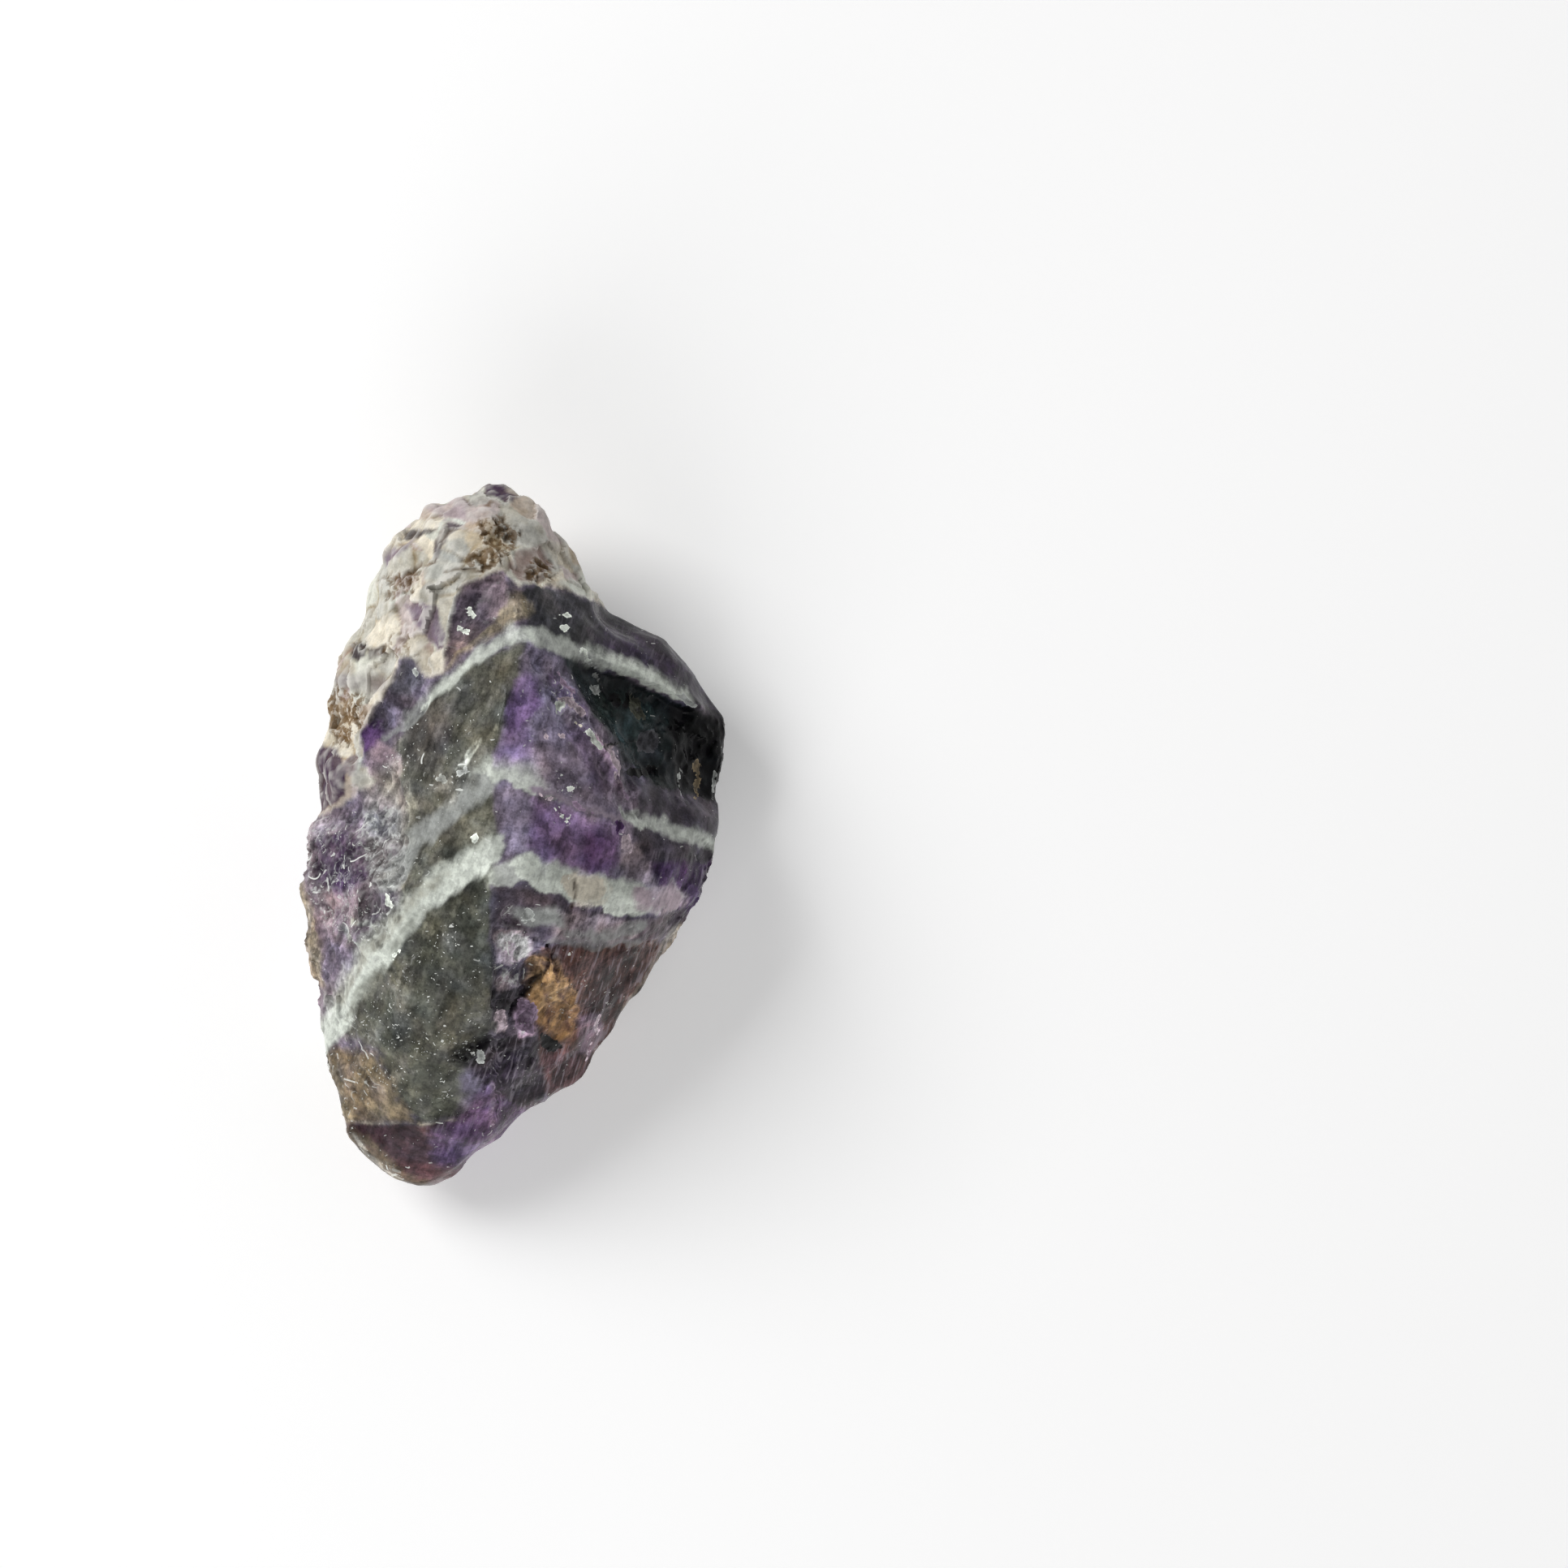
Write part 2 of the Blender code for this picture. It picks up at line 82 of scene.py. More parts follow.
# How strongly each kind of shading changes red, green and blue.
RIND_SHADE = np.array((0.16, 0.20, 0.27))
CREVICE_SHADE = np.array((0.28, 0.38, 0.52))
WARMTH = np.array((0.16, 0.04, -0.14))

# Colours that the material adds where the surface calls for them.
# The rind's crest colour is partly its own pale rims and partly painted highlight.
RIND_CREST_AND_HIGHLIGHT = (0.72, 0.70, 0.65, 1.0)
# Painted shade, put in the rind's hollows.
RIND_HOLLOW_SHADE = (0.20, 0.15, 0.10, 1.0)
RUST_FILM = (0.150, 0.085, 0.030, 1.0)
PIT_BOTTOM = (0.075, 0.040, 0.014, 1.0)
# Painted sheen along the brightest fibre streaks.
FIBRE_GLEAM = (0.30, 0.27, 0.31, 1.0)
CRUST_WHITE = (0.52, 0.53, 0.52, 1.0)
# White of the flakes, partly white specks and partly painted glints.
FLAKE_AND_GLINT_WHITE = (0.84, 0.86, 0.82, 1.0)
CHIP_SHADOW = (0.012, 0.010, 0.014, 1.0)
WHITE = (1.0, 1.0, 1.0, 1.0)

# How many of a pattern's grains, streaks or cells fit along a metre.
FIBRES = 2600.0
GRIT = 1300.0
GRAIN = 4300.0
WAVES = 330.0
SMALL_FLAKES = 4000.0
LARGE_FLAKES = 1000.0
TINY_MARKS = 3400.0
SHORT_MARKS = 1500.0
LONG_MARKS = 520.0

# Where each colour lies, in millimetres as seen from the eye. The growth planes stand nearly
# upright in the stone, so a colour is carried down through it along the line of sight.

# Growth bands: name, colour, strength, soft side and crisp side widths, then x, y and width.
BANDS = (
    ("upper band, left limb, glow", "milk", 0.4, 1.3, 0.8, (
        (-12, 12.7, 0.1), (-9.3, 15.6, 0.1), (-6, 18.4, 0.2), (-2, 21.3, 0.3), (1.2, 22.6, 0.3))),
    ("upper band, left tail", "grey_milk", 0.6, 0.7, 0.4, (
        (-14.2, 10.8, 0.1), (-13, 11.5, 0.1), (-11, 12.8, 0.1), (-9.4, 15, 0.1))),
    ("upper band, left limb", "milk", 0.8, 0.7, 0.5, (
        (-10, 14.3, 0), (-8, 16.6, 0.2), (-6, 18.3, 0.3), (-4, 19.8, 0.5), (-2, 21.3, 0.6), (0, 22.4, 0.5),
        (1.2, 22.6, 0.4))),
    ("upper band, crest", "milk", 0.95, 1.2, 0.8, (
        (0, 22.6, 0.8), (1.6, 22.6, 1.1), (3, 22.1, 0.9), (4.2, 21.4, 0.6))),
    ("upper band, right limb, grey start", "milk", 0.75, 1.2, 0.6, (
        (3.4, 22.2, 1), (5.5, 21.2, 1.3), (8, 20.3, 1.2), (10, 19.4, 1.2))),
    ("upper band, right limb", "milk", 0.75, 1.5, 0.35, (
        (8.5, 20.4, 0.9), (11, 19.3, 1), (14, 18, 1), (16.5, 16.7, 0.9), (18.2, 15.6, 0.7),
        (19.4, 14.9, 0.4))),
    ("upper band, bright middle", "milk", 1, 1, 0.4, (
        (9.4, 19.7, 0.4), (12, 18.7, 1.1), (14.6, 17.5, 1.3), (16.8, 16.4, 1), (18.4, 15.6, 0.5))),
    ("second band, left limb", "grey_milk", 0.85, 1.8, 1, (
        (-13.6, -5, 0.9), (-12.5, -3, 1), (-11, -0.6, 1), (-9, 1, 1), (-6.5, 2.6, 1.1), (-4.5, 4.4, 1.1),
        (-2.4, 6.6, 1.2))),
    ("second band, middle", "milk", 0.85, 2.6, 0.4, (
        (-2.4, 6.9, 0.4), (-1.2, 6.8, 0.8), (0, 6.3, 1), (1.5, 5.4, 0.8), (2.7, 4.6, 0.5))),
    ("second band, thin part", "rose_white", 0.45, 1, 0.2, (
        (2.8, 4.6, 0.2), (4.5, 4, 0.2), (7.5, 3.1, 0.2), (9.5, 2.4, 0.2), (12.5, 1.2, 0.3))),
    ("second band, right end", "milk", 0.9, 1.2, 0.4, (
        (12.8, 2.2, 0.5), (14.4, 1.6, 0.7), (16.4, 0.9, 0.7), (17.6, 0.4, 0.3))),
    ("second band, far right end", "milk", 0.8, 1.6, 0.8, (
        (17, 0.6, 0.4), (19, 0, 0.4), (21, -0.7, 0.4), (24, -1.6, 0.4))),
    ("broad band, left limb", "milk", 0.95, 2, 0.9, (
        (-23, -25.4, 1.2), (-21, -22.8, 1.7), (-19.5, -20.6, 1.9), (-18, -17.8, 2), (-16, -14.6, 2),
        (-14, -12.1, 1.8), (-12, -9.6, 1.6), (-10, -7.4, 1.6), (-8, -5.8, 1.7), (-6, -4.4, 1.7),
        (-4, -3.1, 1.6), (-2.4, -1.8, 1.4), (-1.6, -0.8, 0.6))),
    ("broad band, middle", "milk", 0.55, 1, 0.6, ((-1.6, -4.6, 1.8), (0, -4.3, 2.2), (1.5, -3.9, 2.4))),
    ("broad band, right limb", "milk", 1, 1.2, 0.4, (
        (1.7, -4, 2.4), (4, -4.9, 3), (6.5, -6, 2.6), (8, -6.3, 2.6), (9.6, -6.6, 2.8), (12, -7, 3.4),
        (14, -7.2, 3), (16, -7.3, 2.2), (17.6, -7.3, 1.8))),
    ("broad band, cream block", "cream", 0.95, 0.5, 0.4, ((7, -5.9, 2.1), (8.9, -6.3, 2.2))),
    ("broad band, pink end", "rose_white", 0.85, 1, 0.8, ((14.6, -6.7, 0.8), (17.4, -7.2, 1.2))),
    ("lower band, left end", "grey_milk", 0.95, 1.5, 1, (
        (0.6, -9, 0.2), (2, -9.2, 0.8), (3.6, -9.4, 0.9), (5.4, -10.2, 0.4))),
    ("lower band, right end", "grey_milk", 0.75, 1, 0.6, (
        (6.6, -11.6, 0.5), (9, -11.6, 0.7), (12, -11.2, 0.7), (14.4, -10, 0.4))),
    ("lower band, edge", "grey_milk", 0.4, 0.6, 0.3, (
        (4, -12.3, 0.3), (8, -12.4, 0.4), (11, -12.4, 0.4), (14, -12, 0.4))),
)

# Colour fields: name, colour, how light it is, strength, width of the soft border, unevenness,
# corners. How light a field is was fitted region by region to the tones seen on the lit stone, so it
# holds painted shade as well as the stone's own tone: fields that lay in shade are painted darker.
FIELDS = (
    ("left break", "smoke_green", 0.72, 1, 1.2, 0.2, (
        (1.6, 22), (-4, 20), (-8.4, 17), (-12, 12.5), (-14, 9), (-13, 2), (-13, -8), (-6, -4), (-1.6, 0),
        (-1.8, 8), (-0.5, 13), (0.5, 17))),
    ("left break, grey violet upper part", "slate_violet", 0.3, 0.6, 2, 0.5, (
        (-9, 17), (-13, 12.5), (-12.5, 8), (-9, 7), (-6.5, 11), (-6.5, 15))),
    ("left break, lower part", "deep_green", 0.73, 0.55, 1.6, 0.4, (
        (-2, 5.4), (-5, 2.6), (-9, -1), (-12.4, -4.5), (-12.6, -8), (-8, -4.5), (-4, -1.6), (-1.6, 0.6))),
    ("left break, dark patch under the spine", "smoke_green", 2.8, 0.5, 1.5, 0.4, (
        (-2, 5), (-6, 1.6), (-6, -2.4), (-1.6, 0.2))),
    ("left break, pale green patch", "frost_green", 0.57, 0.6, 1.6, 0.5, (
        (-8, 5.6), (-6.6, 8.4), (-3.6, 11), (-2.6, 8.6), (-3, 5.6), (-5.4, 4.4))),
    ("violet face", "slate_violet", 2.8, 1, 1, 0.25, (
        (1.6, 22), (5, 20), (8.5, 14.4), (12.8, 7.4), (13.6, 4.2), (14.4, 1.6), (12.6, 1.2), (7.5, 3.3),
        (2.7, 4.8), (-2.4, 7.4), (-0.5, 13), (0.5, 17))),
    ("violet face, strong top", "violet", 2.04, 0.95, 1, 0.3, (
        (-0.4, 13.6), (0.4, 17.4), (1.4, 18.6), (2.8, 17.2), (3.2, 14.6), (1.4, 12.4), (-0.4, 11))),
    ("violet face, left side", "violet", 1.77, 0.65, 1.3, 0.4, (
        (-0.6, 13), (2, 12.6), (2.4, 9.6), (0.4, 7.8), (-1.8, 8.4))),
    ("violet face, mauve middle", "mauve_grey", 0.48, 0.6, 1.8, 0.4, (
        (2.4, 13), (6, 13.8), (9.6, 10.4), (11.8, 6.6), (8, 4.6), (3.6, 6.4))),
    ("violet face, plum right side", "violet", 1.21, 0.45, 1.4, 0.4, (
        (6, 12), (8.6, 12.6), (12, 7.8), (12.6, 4.6), (9.4, 5))),
    ("violet face, pale chips along the brow", "deep_violet", 2.38, 0.5, 0.5, 0.6, (
        (3.6, 17.6), (4.6, 16), (6.2, 15.4), (8.6, 13.4), (8.8, 14.6), (7, 16.6), (5, 18.8))),
    ("violet face, lilac chip", "lilac", 2.32, 0.75, 0.4, 0.3, (
        (9.6, 11.6), (11, 10.2), (12.4, 7.6), (11.2, 7.6), (9.2, 10.4))),
    ("violet under the second band", "slate_violet", 1.93, 1, 0.8, 0.25, (
        (-2.2, 6.4), (0.4, 5.6), (2.8, 4.4), (7.5, 2.8), (12.6, 0.8), (15, -1.2), (14.4, -5.4), (10, -5),
        (6.4, -4.6), (2, -2.6), (-1.6, -1.2))),
    ("violet under the second band, strong", "violet", 1.6, 0.8, 1.4, 0.3, (
        (2.6, 4), (7.6, 2.4), (12, 0.8), (12, -3.2), (8.6, -4.8), (4, -2.8), (1.6, -1))),
    ("violet under the second band, strongest", "vivid_violet", 0.71, 0.7, 1.2, 0.4, (
        (8, 0.4), (11.6, 0.2), (12.4, -2.8), (10.6, -4.6), (8.2, -3.8))),
    ("grey violet by the spine", "slate_violet", 2.8, 0.9, 1, 0.3, (
        (-1.6, 5.8), (1.2, 5), (1.6, 0.4), (0.6, -2.2), (-1.4, -1))),
    ("pale mauve beside it", "rose_white", 0.98, 0.85, 0.9, 0.35, (
        (12.4, -0.6), (15, -1), (15.6, -5.4), (12.2, -5))),
    # Painted shade: the right flank faces away from the main light, so the dark right flank and the flank
    # above the band end are painted darker than their smoky violet glass.
    ("dark right flank", "slate_violet", 0.44, 1, 0.8, 0.3, (
        (13.4, 1.4), (16, 0.4), (20, -0.9), (27, -2.6), (27, -4), (18, -3.4), (14.4, -2.8))),
    ("plum right flank", "deep_violet", 1.47, 1, 1, 0.3, (
        (15.4, -3), (20, -3), (27, -3), (25, -10), (18.4, -9.8), (16.4, -6))),
    ("right flank above the band end", "slate_violet", 0.36, 0.9, 0.8, 0.3, (
        (14.2, 4.4), (18.6, 4.6), (23, 3.6), (27, 3), (27, -1.4), (20, 0), (15.6, 2.2))),
    ("dark ledge", "graphite", 0.48, 1, 0.5, 0.2, (
        (1, 27.8), (3, 28.5), (6.6, 27.2), (10.3, 25.7), (17, 23.6), (28, 20), (26, 12), (21, 14.6),
        (17, 16.8), (11, 19.6), (4.5, 22.6), (2, 23.6), (1.4, 25.4))),
    # Painted shade: this steep end lies in shade and is painted nearly black violet for it.
    ("dark ledge, violet end", "deep_violet", 0.3, 0.95, 2.4, 0.3, (
        (9, 25.4), (17, 23.6), (28, 20), (26, 13), (20, 15.6), (14, 19), (9.6, 21))),
    ("dark ledge, violet gleam", "violet", 0.3, 0.7, 1.6, 0.5, (
        (9.6, 23.8), (14, 22.6), (18, 19.2), (18.4, 17), (13, 19.6), (9.6, 21.4))),
    ("notch", "ink_green", 1.37, 1, 0.5, 0.15, (
        (5.6, 20.4), (7.6, 19.4), (12, 17.6), (18.5, 14.4), (23, 12.6), (29, 12), (28, 4), (22, 4.2),
        (18.4, 5.6), (15.6, 5.8), (14.2, 7.4), (12.8, 8.4), (10.6, 12), (8.6, 15), (6.8, 18))),
    ("notch, green slabs", "ink_green", 2.8, 0.8, 1, 0.7, (
        (7.6, 18.6), (12, 16.8), (16, 14.8), (16, 10), (12.4, 10.4), (9.4, 14.6))),
    # Painted shade: the deep end of the notch is painted nearly black for the shade that falls in it.
    ("notch, black end", "near_black", 0.3, 1, 1.2, 0.1, (
        (17.6, 14.4), (29, 13), (29, 5), (21.6, 3.8), (18.6, 6), (17.4, 10))),
    ("olive over the upper band", "olive_brown", 1.36, 0.9, 1, 0.3, (
        (-8, 18.6), (-4, 21.6), (0, 24.2), (2.4, 25.2), (1, 27.8), (-1.6, 27.2), (-4, 24.6), (-7, 21))),
    ("three-cornered dark break", "mauve_grey", 1.19, 1, 0.5, 0.2, (
        (-6.2, 28.4), (-3, 28.8), (-0.8, 29.6), (-0.4, 26.8), (-2.4, 24), (-5, 21.8), (-8.2, 18.6),
        (-7.4, 22), (-6.4, 25.5))),
    ("slate by the upper band's thin end", "slate_violet", 0.92, 0.95, 0.8, 0.3, (
        (-15.2, 20), (-12.6, 19.8), (-9.6, 17.6), (-9, 16.4), (-11, 13.8), (-14.4, 12.4), (-15.6, 15))),
    ("slate by the upper band's thin end, dark", "graphite", 1.77, 0.6, 0.8, 0.4, (
        (-14.6, 19.6), (-12, 19.6), (-10, 17.4), (-11.6, 15.6), (-14.4, 16.6))),
    ("blue grey lump by the band's thin end", "slate_violet", 2.8, 0.8, 0.5, 0.3, (
        (-14.8, 13.6), (-13.6, 14.6), (-12.3, 14.2), (-12.2, 12.8), (-13.4, 12.2), (-14.6, 12.6))),
    ("plum beside it", "deep_violet", 2.73, 0.9, 0.4, 0.3, (
        (-17.4, 12), (-16.6, 12.9), (-14.9, 12.8), (-14.4, 11.4), (-15.2, 10), (-16.6, 9.2),
        (-17.4, 10.2))),
    ("vivid plum spot", "vivid_violet", 0.6, 0.8, 0.4, 0.3, (
        (-14.9, 8.9), (-14.2, 9.2), (-13.3, 8.6), (-13.6, 8), (-14.6, 8.1))),
    ("left flank", "mauve_grey", 1.9, 0.95, 0.8, 0.3, (
        (-27, 2.6), (-21.4, 2.2), (-17.8, 3.8), (-15.6, 6), (-16.8, 8.6), (-15, 10.6), (-12.6, 9),
        (-12.2, 0), (-13.2, -9.4), (-15.6, -13.4), (-18.6, -18.4), (-21.4, -23), (-27, -28))),
    ("left flank, frosted middle", "frost_green", 1.16, 0.75, 1.4, 0.5, (
        (-16.6, 6), (-13, 9), (-11, 4), (-11.8, -3), (-13, -6.6), (-16, -6), (-17, -1))),
    ("left flank, pale rim", "rose_white", 1.15, 0.85, 0.5, 0.3, (
        (-27, 2.4), (-21.8, 2), (-19.4, 1.8), (-19.6, 0.6), (-22.2, 0), (-23, -3), (-27, -4))),
    ("left flank, plum", "deep_violet", 1.01, 0.95, 0.9, 0.5, (
        (-22.2, -0.2), (-19, 0.8), (-16.8, -0.6), (-16.4, -4.6), (-19.4, -6.6), (-22, -5))),
    ("left flank, slate chip", "graphite", 0.3, 0.65, 0.5, 0.3, (
        (-17.2, -6.2), (-13.3, -5.8), (-13.1, -9.8), (-15.6, -10.2), (-17.4, -8.6))),
    ("left flank, olive edge", "olive_brown", 2.19, 0.8, 0.9, 0.3, (
        (-27, -5), (-23.4, -5), (-22.4, -9), (-21.6, -13), (-21.4, -17), (-27, -18))),
    ("left flank, dark foot", "slate_violet", 2.03, 0.7, 0.8, 0.3, (
        (-20.6, -12.2), (-18, -13), (-17.2, -15.4), (-19.4, -17.6), (-21.4, -16))),
    ("left flank, mauve foot", "mauve_grey", 2.49, 0.8, 0.8, 0.3, (
        (-27, -16.6), (-22, -16.6), (-20, -18.4), (-20.6, -21.4), (-23, -22.6), (-27, -23))),
    ("glittering face", "deep_green", 1.06, 1, 1.6, 0.2, (
        (-1.8, -2.2), (-5, -4.4), (-9, -7.6), (-12.4, -10.8), (-16.5, -16), (-19.8, -21.6), (-15, -24.4),
        (-14, -28), (-11, -32.4), (-6, -32.2), (-5.4, -26.6), (-1.8, -22), (-1.8, -10))),
    ("glittering face, grey middle", "smoke_green", 0.47, 0.45, 2.4, 0.5, (
        (-4, -9), (-10, -13), (-14, -19), (-10, -24), (-5, -20))),
    ("grey streak by the spine", "slate_violet", 1.27, 0.7, 0.8, 0.4, (
        (-2.4, -5.6), (0.6, -6.8), (1.4, -11), (-1, -13.4), (-2.6, -12))),
    ("olive glass, lower left", "olive_glass", 0.9, 0.95, 1.4, 0.35, (
        (-27, -24), (-20, -24), (-15.4, -24.4), (-13.4, -28), (-10.6, -32.4), (-19, -32.6), (-27, -33))),
    ("foot", "deep_plum", 0.6, 1, 0.7, 0.25, (
        (-27, -32.8), (-19, -32.6), (-10, -32.6), (-6, -32.2), (-3, -28.6), (3, -30), (6, -33), (0, -42),
        (-27, -42))),
    ("foot, violet side", "violet", 1.35, 0.75, 1.4, 0.35, (
        (-9, -33.4), (-5.6, -31.4), (-2.6, -28.2), (2, -31), (0, -34.6), (-4, -37), (-8.6, -37.4))),
    ("foot, mauve tip", "deep_plum", 1.38, 0.7, 1, 0.4, (
        (-12.4, -37.4), (-8.4, -36.8), (-5, -38), (-6, -42), (-13, -42))),
    ("foot, olive rim", "olive_glass", 0.54, 0.9, 0.9, 0.4, (
        (-21, -32.6), (-18.2, -32.8), (-16.2, -33.8), (-14, -36.2), (-11.4, -38), (-9, -39.4), (-12, -42),
        (-18, -41), (-22, -36))),
    ("foot, outer olive rim", "olive_glass", 1, 0.85, 0.7, 0.25, (
        (-27, -34), (-18.2, -33.8), (-16.4, -36.2), (-14.2, -38), (-12.2, -38.8), (-13, -43), (-27, -43))),
    ("under the broad band, grey violet strip", "mauve_grey", 0.65, 0.9, 0.7, 0.3, (
        (-1.8, -6), (1.5, -6.2), (4, -7), (9, -8.4), (14, -9.4), (19, -8.6), (21, -10.4), (15.6, -13),
        (10, -12.4), (4, -12.2), (0.6, -11.4), (-1.8, -10))),
    ("under the broad band, mauve", "rose_white", 0.81, 0.85, 1, 0.35, (
        (4.4, -8.4), (9, -9.4), (14, -9.8), (13.6, -11.8), (8, -12.2), (4.4, -11.8))),
    ("lower right break", "plum_brown", 0.83, 1, 0.6, 0.25, (
        (3.2, -12.6), (10, -12.5), (14.4, -12.2), (24, -12), (24, -20), (14, -26), (8, -31), (3.4, -29),
        (3, -22), (1, -19.4), (2.6, -15.6))),
    ("lower right break, violet", "deep_plum", 0.3, 0.6, 1.6, 0.5, (
        (8.6, -13), (14.4, -12.8), (13.6, -19), (9.6, -23), (8, -18))),
    ("lower right break, dark lines", "plum_brown", 1.06, 0.7, 1, 0.5, (
        (5.6, -12.8), (8.8, -13), (9, -18), (7, -20), (6, -16))),
    ("lower right break, honey", "honey", 2.04, 0.85, 0.9, 0.75, (
        (2.2, -13.8), (4.8, -14.4), (6.6, -17), (7.6, -20.6), (6.4, -22.6), (4.6, -22.8), (2.6, -20.4),
        (1.8, -17.6))),
    ("lower right rim", "cream", 1, 0.7, 0.8, 0.5, (
        (17.6, -10.6), (21, -9.6), (25, -14), (18, -19), (13, -22), (12.4, -19.6), (15.4, -15.4))),
    ("pale patch low on the right", "lilac", 1.08, 0.6, 0.9, 0.5, (
        (7.6, -20.4), (9.8, -20.2), (10.4, -22.6), (9, -25), (7.4, -24.4))),
    ("plum patch low on the right", "deep_plum", 1.07, 0.7, 1, 0.4, (
        (3.6, -23.6), (7.4, -24.6), (8.6, -26.6), (5.6, -29.6), (3.4, -28.6))),
    ("beside the crack, pink crystals", "rose_white", 2.35, 0.9, 0.4, 0.35, (
        (-1.6, -11.4), (0.4, -10.9), (2.2, -12), (2, -14), (0.2, -15), (-1.4, -14.2))),
    ("beside the crack, lower pink crystals", "rose_white", 1.17, 0.75, 0.4, 0.4, (
        (-1.6, -15.9), (0.6, -15.7), (1, -17), (-0.8, -17.7))),
    ("below them", "rose_white", 1.3, 0.8, 0.3, 0.6, (
        (-1.6, -19.9), (-0.6, -20.2), (-0.7, -22.2), (-1.5, -22.2))),
    ("black strip by the crack", "near_black", 2.8, 0.85, 0.5, 0.3, (
        (-2, -17.4), (0.8, -17.3), (1.8, -17.9), (0.6, -20), (-1.8, -20.4))),
    ("black chips under the spine", "near_black", 0.3, 0.95, 0.6, 0.5, (
        (-6.4, -24.4), (-3, -23), (1, -22.8), (0.8, -24.8), (-2.6, -26), (-6, -26.6))),
    ("lilac wedge", "lilac", 2.57, 0.85, 0.5, 0.3, (
        (0.2, -20.4), (1.4, -18.8), (3.2, -20.6), (3, -22.8), (1, -23.2))),
    ("grey streaks over the foot", "mauve_grey", 0.3, 0.9, 0.8, 0.4, (
        (-4.6, -26.4), (-1, -23.4), (3.2, -23.4), (4, -29), (1.6, -31), (-2.4, -28.6))),
    ("grey streaks over the foot, violet", "deep_violet", 0.3, 0.7, 0.8, 0.6, (
        (-3.4, -26.6), (-1, -24.2), (1, -24.6), (0.6, -29.4), (-2.4, -28.4))),
)

# The border of the rind, as in the solid.
RIND = (
    (60, 60), (14, 27.4), (10.3, 26), (6, 28), (3, 28.6), (0.7, 28.4), (-1, 30), (-3, 29), (-5.5, 28),
    (-6.4, 25.5), (-7.6, 21), (-8.2, 18.3), (-9.8, 18), (-11.5, 20), (-13, 20), (-13.5, 17.5), (-15, 15),
    (-17, 11.5), (-16.6, 8), (-15.6, 6), (-18, 4), (-21.5, 2.3), (-60, 2.3), (-60, 60),
)

# Size of the rind's own blocks, in millimetres.
RIND_BLOCK = 4.4

# The rind's own blocks, each in one colour: colour, how light it is, strength.
RIND_BLOCKS = (
    ("cream", 1.2, 0.7), ("cream", 0.85, 0.6), ("frost_green", 1.8, 0.55), ("cream", 1.35, 0.8),
    ("lilac", 1.7, 0.35), ("grey_milk", 1.45, 0.6), ("mauve_brown", 2.8, 0.35), ("milk", 0.95, 0.6),
)
